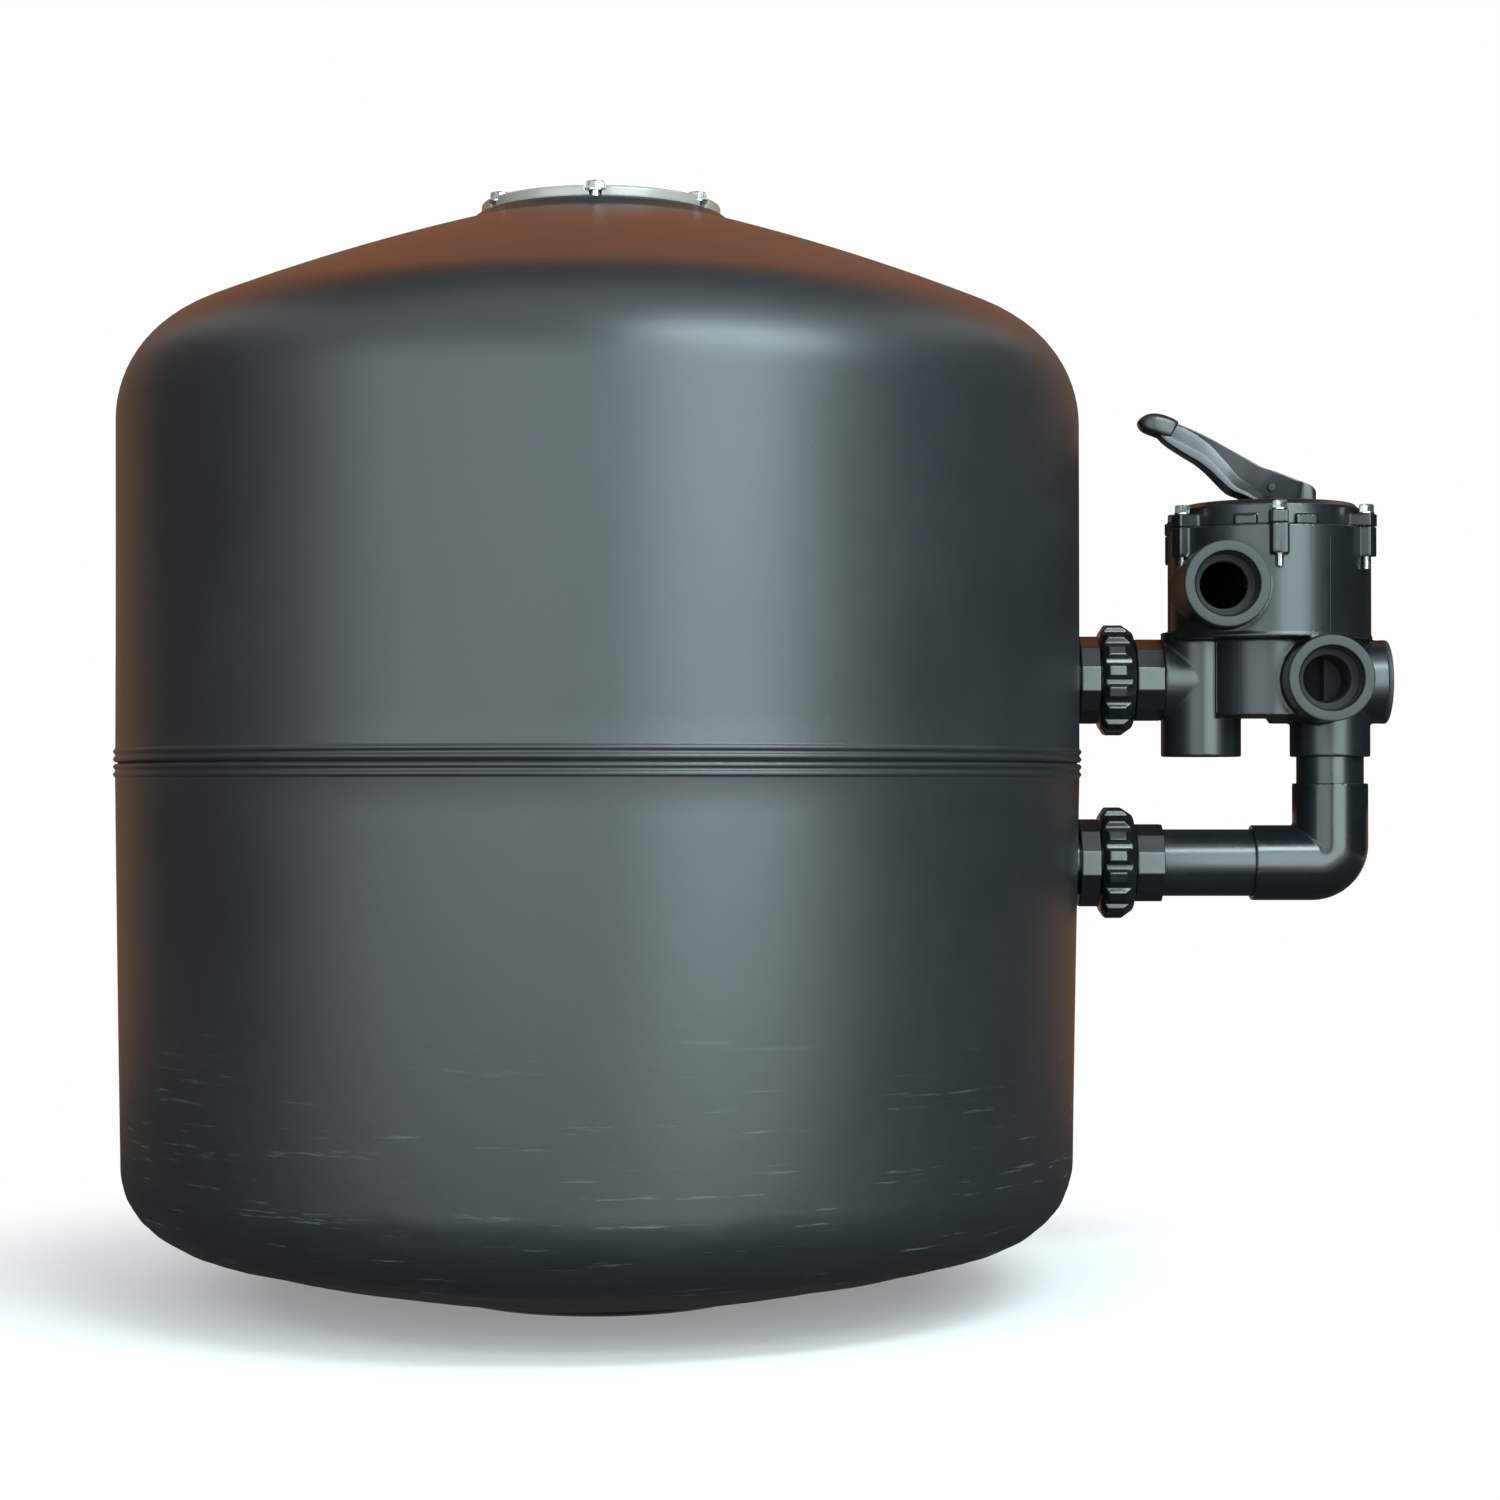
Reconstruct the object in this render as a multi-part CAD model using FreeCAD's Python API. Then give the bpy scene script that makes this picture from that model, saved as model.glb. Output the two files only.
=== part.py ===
import FreeCAD, Part
import math
import os

V = FreeCAD.Vector
X_AXIS = V(1, 0, 0)
Y_AXIS = V(0, 1, 0)
Z_AXIS = V(0, 0, 1)

# All lengths are in millimetres and all angles in degrees.
# The tank axis is Z, the floor is z = 0 and the valve stands on the +X side.

# Tank shells, two moulded halves welded at the seam
TANK_RADIUS = 450.0
TANK_WALL = 8.0
SEAM_DROP = 79.0
LOWER_TAPER = 6.0
TOP_KNUCKLE_RADIUS = 108.0
SHOULDER_DROP = 200.0
TOP_CROWN_RADIUS = 2400.0
BASE_KNUCKLE_RADIUS = 76.0
BASE_KNUCKLE_HEIGHT = 131.0
BASE_CROWN_RADIUS = 2400.0
FOOT_RADIUS = 144.0
FOOT_STEP = 5.0
SEAM_LIP_HEIGHT = 16.0
SEAM_LIP_THICKNESS = 6.0
SEAM_BEAD_WIDTH = 4.0
SEAM_BEAD_RISE = 1.4
SEAM_BEAD_PITCH = 7.0
SEAM_BEAD_COUNT = 2
PAD_RADIUS = 48.0
PAD_RISE = 0.5
PAD_DEPTH = 6.0

# Manway neck and lid
MANWAY_RADIUS = 90.0
NECK_RADIUS = 119.0
NECK_BASE_RADIUS = 125.0
NECK_TOP_HEIGHT = 1012.0
NECK_RISE = 7.0
NECK_DEPTH = 30.0
LID_RADIUS = 113.0
LID_THICKNESS = 10.0
LID_DOME_RADIUS = 78.0
LID_DOME_RISE = 15.0
LID_SKIN = 6.0
LID_SPIGOT_DEPTH = 8.0
LID_SPIGOT_WALL = 6.0
LID_GASKET_THICKNESS = 2.0
LID_BOLT_COUNT = 6
LID_BOLT_CIRCLE = 106.0
LID_BOLT_RADIUS = 5.0
LID_BOLT_HEAD_FLATS = 17.0
LID_BOLT_HEAD_HEIGHT = 7.0
LID_BOLT_GRIP = 18.0
LID_RECESS_RADIUS = 11.0
LID_RECESS_DEPTH = 5.0
LID_WASHER_RADIUS = 10.0
LID_WASHER_THICKNESS = 2.0
LID_EDGE = 1.0
LID_SLOT_CLEARANCE = 0.5

# Tank connectors and unions, the same set at both heights
UPPER_PORT_HEIGHT = 576.0
CONNECTOR_BORE = 24.0
CONNECTOR_TUBE = 30.0
CONNECTOR_FLANGE = 44.0
CONNECTOR_FLANGE_WIDTH = 8.0
CONNECTOR_SOCKET_DEPTH = 22.0
CONNECTOR_SOCKET_WALL = 4.5
CONNECTOR_GASKET = 2.0
TANK_NUT_SIDES = 12
TANK_NUT_FLATS = 82.0
TANK_NUT_WIDTH = 18.5
TANK_NUT_SPACE = 1.5
UNION_THREAD_RADIUS = 40.0
UNION_THREAD_LENGTH = 14.5
UNION_NUT_LOBES = 16
UNION_NUT_CREST = 52.5
UNION_NUT_ROOT = 48.0
UNION_NUT_LENGTH = 31.0
UNION_NUT_LIP = 8.5
UNION_NUT_CHAMFER = 6.0
UNION_SEAL_OUTER = 37.0
UNION_SEAL_INNER = 30.0
UNION_SEAL_DEPTH = 3.0
TAIL_FLANGE_RADIUS = 39.6
TAIL_FLANGE_WIDTH = 5.5
TAIL_NECK_RADIUS = 35.0
TAIL_NECK_LENGTH = 12.5
TAIL_COLLAR_SIDES = 12
UPPER_TAIL_FLATS = 76.5
LOWER_TAIL_FLATS = 72.5
TAIL_COLLAR_WIDTH = 26.0
FIT_GAP = 0.3

# Pipe run outside the tank
PIPE_RADIUS = 31.5
PIPE_WALL = 3.5
SOCKET_DEPTH = 33.0
ELBOW_WALL = 4.0
ELBOW_LEG = 75.0
ELBOW_BEND = 18.0
RISER_SPACE = 25.0
PLUG_INSET = 9.0

# Multiport valve body, with heights counted from the upper port axis
BRANCH_RADIUS = 37.0
BRANCH_LENGTH = 38.4
LEFT_CHAMBER_OFFSET = 64.6
RIGHT_CHAMBER_OFFSET = 57.5
CHAMBER_RADIUS = 37.6
CHAMBER_BORE = 27.0
CHAMBER_DROP = 72.5
LOWER_BODY_RADIUS = 68.0
LOWER_BODY_DROP = 35.0
LOWER_BODY_RISE = 37.0
LOWER_BODY_WALL = 8.0
LOWER_FLOOR = 15.0
VALVE_DECK = 8.0
WEB_THICKNESS = 5.0
WEB_POST_RADIUS = 14.0
SECTOR_COUNT = 6
DECK_SLOT_INNER = 20.0
DECK_SLOT_OUTER = 54.0
UPPER_BODY_RADIUS = 95.0
UPPER_BODY_HEIGHT = 104.0
UPPER_BODY_WALL = 9.0
RIM_OPENING_RADIUS = 74.0
RIM_HEIGHT = 16.0
STEP_BEAD_HEIGHT = 3.0
STEP_BEAD_RISE = 1.2
PORT_RADIUS = 39.5
PORT_BORE = 29.5
PORT_THREAD_LENGTH = 24.0
PORT_PASSAGE = 22.0
PORT_REACH = 110.0
SIDE_PORT_REACH = 110.0
PORT_A_OFFSET = -56.0
PORT_A_RISE = 84.6
PORT_B_OFFSET = 38.7
PORT_B_DROP = 1.6
PORT_A_PASSAGE = 66.0
PORT_B_PASSAGE = 68.0
PORT_C_PASSAGE = 58.0
DUCT_RADIUS = 8.0
DUCT_FOOT = 17.8
DUCT_HEAD_X = 21.8
DUCT_HEAD_Y = 40.0
DUCT_HEAD_RISE = 6.0

# Cover with its bolted lugs
LUG_COUNT = 6
LUG_PHASE = -4.0
LUG_WIDTH = 15.0
LUG_REACH = 105.5
BODY_LUG_HEIGHT = 28.0
COVER_LUG_HEIGHT = 12.0
COVER_BOLT_CIRCLE = 98.0
COVER_BOLT_RADIUS = 4.0
COVER_BOLT_HEAD_FLATS = 13.0
COVER_BOLT_HEAD_HEIGHT = 7.0
COVER_BOLT_END = 12.0
COVER_WASHER_RADIUS = 7.4
COVER_WASHER_THICKNESS = 1.6
INSERT_RADIUS = 6.0
INSERT_LENGTH = 12.0
COVER_RADIUS = 84.5
COVER_HEIGHT = 24.0
COVER_CORNER = 5.0
COVER_PLATE = 10.0
COVER_POCKET_DEPTH = 5.0
COVER_POCKET_INNER = 31.0
COVER_POCKET_OUTER = 74.0
COVER_RIB_COUNT = 12
COVER_RIB_THICKNESS = 4.0
COVER_SKIRT_DEPTH = 9.0
COVER_SKIRT_WALL = 7.0
COVER_BOSS_RADIUS = 22.0
COVER_BOSS_DEPTH = 26.0
COVER_TAB_WIDTH = 21.0
COVER_TAB_HEIGHT = 9.0
COVER_TAB_ANGLES = (-24.0, 14.0)
COVER_TAB_RISE = 2.5
COVER_RING_RADIUS = 79.5
COVER_RING_SECTION = 2.5

# Rotor, stem and spring
GASKET_THICKNESS = 2.5
GASKET_RING = 6.0
ROTOR_RADIUS = 63.0
ROTOR_THICKNESS = 18.0
ROTOR_HUB_RADIUS = 17.0
ROTOR_HUB_HEIGHT = 30.0
ROTOR_DISH = 10.0
ROTOR_RIM = 6.0
ROTOR_BRIDGE_DEPTH = 4.0
STEM_RADIUS = 11.0
STEM_SEAT_DEPTH = 20.0
STEM_CLEARANCE = 0.05
STEM_RING_SECTION = 1.5
STEM_RING_COUNT = 2
STEM_RING_PITCH = 9.0
SPRING_RADIUS = 27.0
SPRING_WIRE = 2.0
SPRING_TURNS = 4
SPRING_CLEARANCE = 2.0
THRUST_WASHER_RADIUS = 27.0
THRUST_WASHER_THICKNESS = 1.8

# Handle, with the pin as the origin of its outline and the lever towards -X
CAM_RADIUS = 17.0
CAM_OFFSET = 14.0
CAM_REST_ANGLE = 13.0
CAM_HEEL_ANGLE = 38.0
LEVER_SLOPE = 34.0
PRESS_ANGLE = 25.0
PIN_RADIUS = 4.0
EYE_RADIUS = 8.0
PIN_CLEARANCE = 0.05
HANDLE_HUB_WIDTH = 38.0
HANDLE_NECK_WIDTH = 22.0
HANDLE_CHEEK = 6.0
HANDLE_WEB = 4.5
HANDLE_FLANGE = 3.0
HANDLE_BLOCK = 12.0
HANDLE_END = 42.0
HANDLE_OVERRUN = 8.0
LEVER_LENGTH = 88.0
LEVER_RISE = 50.5
LEVER_TOP = ((0.727, 1.01), (0.534, 0.832), (0.341, 0.604), (0.091, 0.366))
LEVER_UNDER = ((0.438, -0.059), (0.568, 0.168), (0.773, 0.485))
LEVER_CREST = ((0.75, 0.9), (0.55, 0.69), (0.4, 0.42), (0.25, 0.05), (0.08, -0.11))
LEVER_HEEL = (0.27, -0.17)
LEVER_BAND_SHARE = 0.7
LEVER_WAIST_ALONG = 0.6
LEVER_WAIST_SHARE = 0.54
LEVER_SHOULDER_SHARE = 0.46
NECK_HEIGHT = 24.0
GRIP_LENGTH = 38.0
GRIP_WIDTH = 30.0
GRIP_HEIGHT = 24.0
GRIP_ROUND = 8.0
GRIP_TANG_LENGTH = 24.0
GRIP_TANG_HEIGHT = 12.0

# Pipes, diffuser and collector inside the tank
INNER_PIPE_RADIUS = 25.0
INNER_PIPE_WALL = 3.0
INNER_ELBOW_WALL = 4.0
INNER_ELBOW_LEG = 48.0
INNER_ELBOW_BEND = 14.0
INNER_SOCKET_DEPTH = 20.0
DIFFUSER_DROP = 162.0
DIFFUSER_RADIUS = 70.0
DIFFUSER_GAP = 28.0
DIFFUSER_PLATE = 5.0
DIFFUSER_POSTS = 4
DIFFUSER_POST_RADIUS = 4.0
LATERAL_HEIGHT = 118.0
LATERAL_RADIUS = 12.0
LATERAL_WALL = 2.5
LATERAL_COUNT = 8
LATERAL_REACH = 320.0
LATERAL_SLOT_WIDTH = 4.0
LATERAL_SLOT_END = 14.0
CAP_WALL = 2.5
CAP_LENGTH = 14.0
HUB_RADIUS = 52.0
HUB_WALL = 5.0
GRAVEL_HEIGHT = 210.0
MEDIA_SLOPE_RADIUS = 345.0
MEDIA_SLOPE_HEIGHT = 84.0
SAND_CLEARANCE = 2.0

# Drain at the back of the lower shell
DRAIN_HEIGHT = 168.0
DRAIN_TUBE = 17.0
DRAIN_BORE = 10.0
DRAIN_FLANGE = 27.0
DRAIN_FLANGE_WIDTH = 9.0
DRAIN_FLANGE_SIDES = 8
DRAIN_INNER_LENGTH = 6.0
DRAIN_PLUG_FLATS = 30.0
DRAIN_PLUG_HEAD = 12.0
DRAIN_PLUG_SHANK = 18.0
DRAIN_GASKET = 2.0
DRAIN_GASKET_RADIUS = 15.0
DRAIN_PAD_MARGIN = 3.0


def sine(degrees):
    return math.sin(math.radians(degrees))


def cosine(degrees):
    return math.cos(math.radians(degrees))


# Heights and places that follow from the driving dimensions
SEAM_HEIGHT = UPPER_PORT_HEIGHT - SEAM_DROP
TOP_KNUCKLE_HEIGHT = NECK_TOP_HEIGHT - SHOULDER_DROP
LOWER_PORT_HEIGHT = UPPER_PORT_HEIGHT - CHAMBER_DROP - RISER_SPACE - ELBOW_LEG
DIFFUSER_HEIGHT = NECK_TOP_HEIGHT - DIFFUSER_DROP
SAND_HEIGHT = UPPER_PORT_HEIGHT - CONNECTOR_FLANGE - SAND_CLEARANCE
PAD_FACE = TANK_RADIUS + PAD_RISE
PAD_INNER_FACE = TANK_RADIUS - TANK_WALL - PAD_DEPTH
LID_BASE = NECK_TOP_HEIGHT + LID_GASKET_THICKNESS
LID_TOP = LID_BASE + LID_THICKNESS
LID_WASHER_BASE = LID_TOP - LID_RECESS_DEPTH

LOWER_WALL_TOP = SEAM_HEIGHT - SEAM_BEAD_PITCH * SEAM_BEAD_COUNT
DRAIN_WALL_DROP = (LOWER_WALL_TOP - DRAIN_HEIGHT) / (LOWER_WALL_TOP - BASE_KNUCKLE_HEIGHT)
DRAIN_WALL = TANK_RADIUS - LOWER_TAPER * DRAIN_WALL_DROP
DRAIN_FACE = DRAIN_WALL + PAD_RISE
DRAIN_INNER_FACE = DRAIN_WALL - TANK_WALL - PAD_DEPTH

UNION_START = PAD_FACE + TANK_NUT_WIDTH + TANK_NUT_SPACE
UNION_FACE = UNION_START + UNION_THREAD_LENGTH
TAIL_START = UNION_FACE + FIT_GAP
TAIL_COLLAR_START = TAIL_START + TAIL_FLANGE_WIDTH + TAIL_NECK_LENGTH
TAIL_END = TAIL_COLLAR_START + TAIL_COLLAR_WIDTH
SOCKET_STOP = TAIL_END - SOCKET_DEPTH

LEFT_CHAMBER_X = TAIL_END + BRANCH_LENGTH
VALVE_X = LEFT_CHAMBER_X + LEFT_CHAMBER_OFFSET
RIGHT_CHAMBER_X = VALVE_X + RIGHT_CHAMBER_OFFSET
CHAMBER_BOTTOM = UPPER_PORT_HEIGHT - CHAMBER_DROP
LOWER_BODY_BOTTOM = UPPER_PORT_HEIGHT - LOWER_BODY_DROP
DECK_BOTTOM = UPPER_PORT_HEIGHT + LOWER_BODY_RISE
DECK_TOP = DECK_BOTTOM + VALVE_DECK
RIM_TOP = DECK_BOTTOM + UPPER_BODY_HEIGHT
COVER_TOP = RIM_TOP + COVER_HEIGHT
COVER_CEILING = COVER_TOP - COVER_PLATE
WASHER_BASE = COVER_TOP + FIT_GAP
WASHER_TOP = WASHER_BASE + THRUST_WASHER_THICKNESS
ROTOR_BASE = DECK_TOP + GASKET_THICKNESS + FIT_GAP
ROTOR_TOP = ROTOR_BASE + ROTOR_THICKNESS
HUB_TOP = ROTOR_BASE + ROTOR_HUB_HEIGHT
PORT_A_HEIGHT = UPPER_PORT_HEIGHT + PORT_A_RISE
PORT_B_HEIGHT = UPPER_PORT_HEIGHT - PORT_B_DROP
SIDE_PORT_FACE = VALVE_X + SIDE_PORT_REACH

CAM_LOW = CAM_OFFSET * sine(CAM_REST_ANGLE) - CAM_RADIUS
LIFT = CAM_OFFSET * (sine(CAM_REST_ANGLE) - sine(CAM_REST_ANGLE - PRESS_ANGLE))
PIN_HEIGHT = WASHER_TOP + FIT_GAP - CAM_LOW


def tube_solid(radius, length, base, axis):
    return Part.makeCylinder(radius, length, base, axis)


def ring_solid(outer, inner, length, base, axis):
    """A straight tube from its two radii."""
    return tube_solid(outer, length, base, axis).cut(tube_solid(inner, length, base, axis))


def prism(points, depth):
    """A flat outline of points pushed along depth."""
    wire = Part.makePolygon(points + [points[0]])
    return Part.Face(wire).extrude(depth)


def revolved(points, origin, axis):
    """A closed outline of points turned fully about an axis."""
    wire = Part.makePolygon(points + [points[0]])
    return Part.Face(wire).revolve(origin, axis, 360)


def polygon_bar(sides, flats, length, base, axis):
    """A bar of regular section along X or Z, with its first flat upwards."""
    corner = flats / 2 / cosine(180 / sides)
    points = []
    for index in range(sides):
        angle = (index + 0.5) * 360 / sides
        if axis == Z_AXIS:
            points.append(base + V(corner * cosine(angle), corner * sine(angle), 0))
        else:
            points.append(base + V(0, corner * sine(angle), corner * cosine(angle)))
    return prism(points, axis * length)


def around(shape, count, centre, phase=0.0):
    """Copies of a shape spaced evenly about a vertical axis."""
    copies = []
    for index in range(count):
        copy = shape.copy()
        copy.rotate(centre, Z_AXIS, phase + index * 360 / count)
        copies.append(copy)
    return copies


def fused(shapes):
    """One solid from shapes that overlap or touch."""
    return shapes[0].multiFuse(shapes[1:]).removeSplitter()


def arc_edge(centre, start, end):
    """The shorter arc about a centre in the XZ plane."""
    radius = (start - centre).Length
    middle = (start - centre) + (end - centre)
    middle.normalize()
    return Part.Arc(start, centre + middle * radius, end).toShape()


def line_edge(start, end):
    return Part.LineSegment(start, end).toShape()


def crown_centre(knuckle, knuckle_radius, end, crown_radius, side):
    """Centre of the crown circle that ends at a point and meets the knuckle smoothly."""
    near = crown_radius - knuckle_radius
    span = knuckle - end
    distance = span.Length
    along = (crown_radius ** 2 - near ** 2 + distance ** 2) / (2 * distance)
    across = math.sqrt(crown_radius ** 2 - along ** 2)
    unit = V(span)
    unit.normalize()
    normal = V(unit.z, 0, -unit.x) * side
    return end + unit * along + normal * across


def dish(wall_foot, knuckle, crown, knuckle_radius, crown_radius, end_radius, upward):
    """Wall, knuckle and crown edges of one end of the tank, from the wall inwards."""
    wall_top = knuckle + V(knuckle_radius, 0, 0)
    outward = knuckle - crown
    outward.normalize()
    meet = knuckle + outward * knuckle_radius
    rise = math.sqrt(crown_radius ** 2 - (end_radius - crown.x) ** 2)
    end = V(end_radius, 0, crown.z + rise * upward)
    edges = [line_edge(wall_foot, wall_top), arc_edge(knuckle, wall_top, meet), arc_edge(crown, meet, end)]
    return edges, end


def chain(points):
    """Straight edges through points."""
    return [line_edge(a, b) for a, b in zip(points, points[1:])]


def bead_end(direction):
    """Height where the plain wall starts beyond the beads, above or below the seam."""
    return SEAM_HEIGHT + direction * SEAM_BEAD_PITCH * SEAM_BEAD_COUNT


def seam_beads(direction):
    """Fine moulded beads that run round the shell beside the weld, from the seam outwards."""
    points = [V(TANK_RADIUS, 0, SEAM_HEIGHT)]
    for index in range(SEAM_BEAD_COUNT):
        height = SEAM_HEIGHT + direction * SEAM_BEAD_PITCH * (index + 0.5)
        for step, rise in ((-0.5, 0), (0, SEAM_BEAD_RISE), (0.5, 0)):
            points.append(V(TANK_RADIUS + rise, 0, height + direction * step * SEAM_BEAD_WIDTH))
    points.append(V(TANK_RADIUS, 0, bead_end(direction)))
    return chain(points)


def port_pad(height):
    """Flat boss moulded through the wall, so a connector seats square on a curved tank."""
    return tube_solid(PAD_RADIUS, PAD_FACE - PAD_INNER_FACE, V(PAD_INNER_FACE, 0, height), X_AXIS)


def port_hole(height):
    depth = PAD_FACE - PAD_INNER_FACE
    return tube_solid(CONNECTOR_TUBE + FIT_GAP, depth + 2, V(PAD_INNER_FACE - 1, 0, height), X_AXIS)


def upper_tank_shell():
    """Upper half: cylinder, knuckle and shallow crown up to the thick manway neck."""
    knuckle = V(TANK_RADIUS - TOP_KNUCKLE_RADIUS, 0, TOP_KNUCKLE_HEIGHT)
    neck_base = V(NECK_BASE_RADIUS, 0, NECK_TOP_HEIGHT - NECK_RISE)
    crown = crown_centre(knuckle, TOP_KNUCKLE_RADIUS, neck_base, TOP_CROWN_RADIUS, 1)
    outer, outer_end = dish(V(TANK_RADIUS, 0, bead_end(1)), knuckle, crown,
                            TOP_KNUCKLE_RADIUS, TOP_CROWN_RADIUS, NECK_BASE_RADIUS, 1)
    inner_radius = TANK_RADIUS - TANK_WALL
    lip_top = V(inner_radius, 0, SEAM_HEIGHT + SEAM_LIP_HEIGHT + SEAM_LIP_THICKNESS)
    inner, inner_end = dish(lip_top, knuckle, crown, TOP_KNUCKLE_RADIUS - TANK_WALL,
                            TOP_CROWN_RADIUS - TANK_WALL, NECK_BASE_RADIUS, 1)
    neck_foot = NECK_TOP_HEIGHT - NECK_DEPTH
    neck = chain([outer_end, V(NECK_RADIUS, 0, NECK_TOP_HEIGHT), V(MANWAY_RADIUS, 0, NECK_TOP_HEIGHT),
                  V(MANWAY_RADIUS, 0, neck_foot), inner_end])
    lip_inner = inner_radius - SEAM_LIP_THICKNESS
    lip = chain([lip_top, V(lip_inner, 0, SEAM_HEIGHT + SEAM_LIP_HEIGHT),
                 V(lip_inner, 0, SEAM_HEIGHT), V(TANK_RADIUS, 0, SEAM_HEIGHT)])
    wire = Part.Wire(Part.__sortEdges__(seam_beads(1) + outer + neck + inner + lip))
    shell = Part.Face(wire).revolve(V(0, 0, 0), Z_AXIS, 360)
    shell = fused([shell, port_pad(UPPER_PORT_HEIGHT)])
    hole_top = V(0, -LID_BOLT_CIRCLE, NECK_TOP_HEIGHT - LID_BOLT_GRIP)
    hole = tube_solid(LID_BOLT_RADIUS, LID_BOLT_GRIP + 1, hole_top, Z_AXIS)
    holes = around(hole, LID_BOLT_COUNT, V(0, 0, 0))
    return shell.cut([port_hole(UPPER_PORT_HEIGHT)] + holes)


def base_outline(offset, end_radius):
    """Edges of the lower half from the seam to the foot, moved inwards by offset."""
    knuckle = V(TANK_RADIUS - LOWER_TAPER - BASE_KNUCKLE_RADIUS, 0, BASE_KNUCKLE_HEIGHT)
    foot = V(FOOT_RADIUS + FOOT_STEP, 0, FOOT_STEP)
    crown = crown_centre(knuckle, BASE_KNUCKLE_RADIUS, foot, BASE_CROWN_RADIUS, -1)
    start = V(TANK_RADIUS - offset, 0, bead_end(-1))
    return dish(start, knuckle, crown, BASE_KNUCKLE_RADIUS - offset,
                BASE_CROWN_RADIUS - offset, end_radius, -1)


def lower_tank_shell():
    """Lower half: tapered wall, knuckle, shallow dished base and a flat round foot."""
    outer, outer_end = base_outline(0, FOOT_RADIUS + FOOT_STEP)
    inner, inner_end = base_outline(TANK_WALL, FOOT_RADIUS)
    foot = chain([outer_end, V(FOOT_RADIUS, 0, 0), V(0, 0, 0), V(0, 0, TANK_WALL),
                  V(FOOT_RADIUS - TANK_WALL, 0, TANK_WALL), inner_end])
    rim_inner = TANK_RADIUS - TANK_WALL
    rim = chain([V(rim_inner, 0, bead_end(-1)), V(rim_inner, 0, SEAM_HEIGHT), V(TANK_RADIUS, 0, SEAM_HEIGHT)])
    wire = Part.Wire(Part.__sortEdges__(seam_beads(-1) + outer + foot + inner + rim))
    shell = Part.Face(wire).revolve(V(0, 0, 0), Z_AXIS, 360)
    lip = ring_solid(TANK_RADIUS - TANK_WALL / 2, TANK_RADIUS - TANK_WALL - SEAM_LIP_THICKNESS,
                     SEAM_LIP_HEIGHT, V(0, 0, SEAM_HEIGHT - SEAM_LIP_HEIGHT), Z_AXIS)
    pad_depth = DRAIN_FACE - DRAIN_INNER_FACE
    drain_pad = tube_solid(DRAIN_FLANGE + DRAIN_PAD_MARGIN, pad_depth, V(0, DRAIN_INNER_FACE, DRAIN_HEIGHT), Y_AXIS)
    shell = fused([shell, lip, port_pad(LOWER_PORT_HEIGHT), drain_pad])
    drain_hole = tube_solid(DRAIN_TUBE, pad_depth + 2, V(0, DRAIN_INNER_FACE - 1, DRAIN_HEIGHT), Y_AXIS)
    return shell.cut([port_hole(LOWER_PORT_HEIGHT), drain_hole])


def manway_lid():
    """Clear disc with a low dome, a locating ring below and open recesses for the bolts."""
    dome_top = LID_TOP + LID_DOME_RISE
    spigot_outer = MANWAY_RADIUS - FIT_GAP
    spigot_base = LID_BASE - LID_SPIGOT_DEPTH
    spigot_inner = spigot_outer - LID_SPIGOT_WALL
    ball = (LID_DOME_RADIUS ** 2 + LID_DOME_RISE ** 2) / (2 * LID_DOME_RISE)
    centre = V(0, 0, dome_top - ball)
    start = V(0, 0, dome_top)
    shoulder = V(LID_DOME_RADIUS, 0, LID_TOP)
    low_end = V(0, 0, dome_top - LID_SKIN)
    low_radius = LID_DOME_RADIUS - LID_SKIN
    low_start = V(low_radius, 0, centre.z + math.sqrt((ball - LID_SKIN) ** 2 - low_radius ** 2))
    rim = chain([shoulder, V(LID_RADIUS - LID_EDGE, 0, LID_TOP), V(LID_RADIUS, 0, LID_TOP - LID_EDGE),
                 V(LID_RADIUS, 0, LID_BASE), V(spigot_outer, 0, LID_BASE), V(spigot_outer, 0, spigot_base),
                 V(spigot_inner, 0, spigot_base), V(spigot_inner, 0, LID_BASE), low_start])
    domes = [arc_edge(centre, start, shoulder), arc_edge(centre, low_start, low_end)]
    wire = Part.Wire(Part.__sortEdges__(domes + rim + [line_edge(low_end, start)]))
    lid = Part.Face(wire).revolve(V(0, 0, 0), Z_AXIS, 360)
    bolt_place = V(0, -LID_BOLT_CIRCLE, LID_WASHER_BASE)
    recess = tube_solid(LID_RECESS_RADIUS, LID_RECESS_DEPTH + 1, bolt_place, Z_AXIS)
    slot_radius = LID_BOLT_RADIUS + LID_SLOT_CLEARANCE
    slot = tube_solid(slot_radius, LID_THICKNESS + 2, V(0, -LID_BOLT_CIRCLE, LID_BASE - 1), Z_AXIS)
    channel = Part.makeBox(2 * slot_radius, LID_RADIUS, LID_THICKNESS + 2,
                           V(-slot_radius, -LID_BOLT_CIRCLE - LID_RADIUS, LID_BASE - 1))
    cutter = fused([recess, slot, channel])
    return lid.cut(around(cutter, LID_BOLT_COUNT, V(0, 0, 0)))


def lid_gasket():
    ring = ring_solid(LID_RADIUS, MANWAY_RADIUS, LID_GASKET_THICKNESS, V(0, 0, NECK_TOP_HEIGHT), Z_AXIS)
    hole = tube_solid(LID_BOLT_RADIUS, LID_GASKET_THICKNESS, V(0, -LID_BOLT_CIRCLE, NECK_TOP_HEIGHT), Z_AXIS)
    return ring.cut(around(hole, LID_BOLT_COUNT, V(0, 0, 0)))


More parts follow.
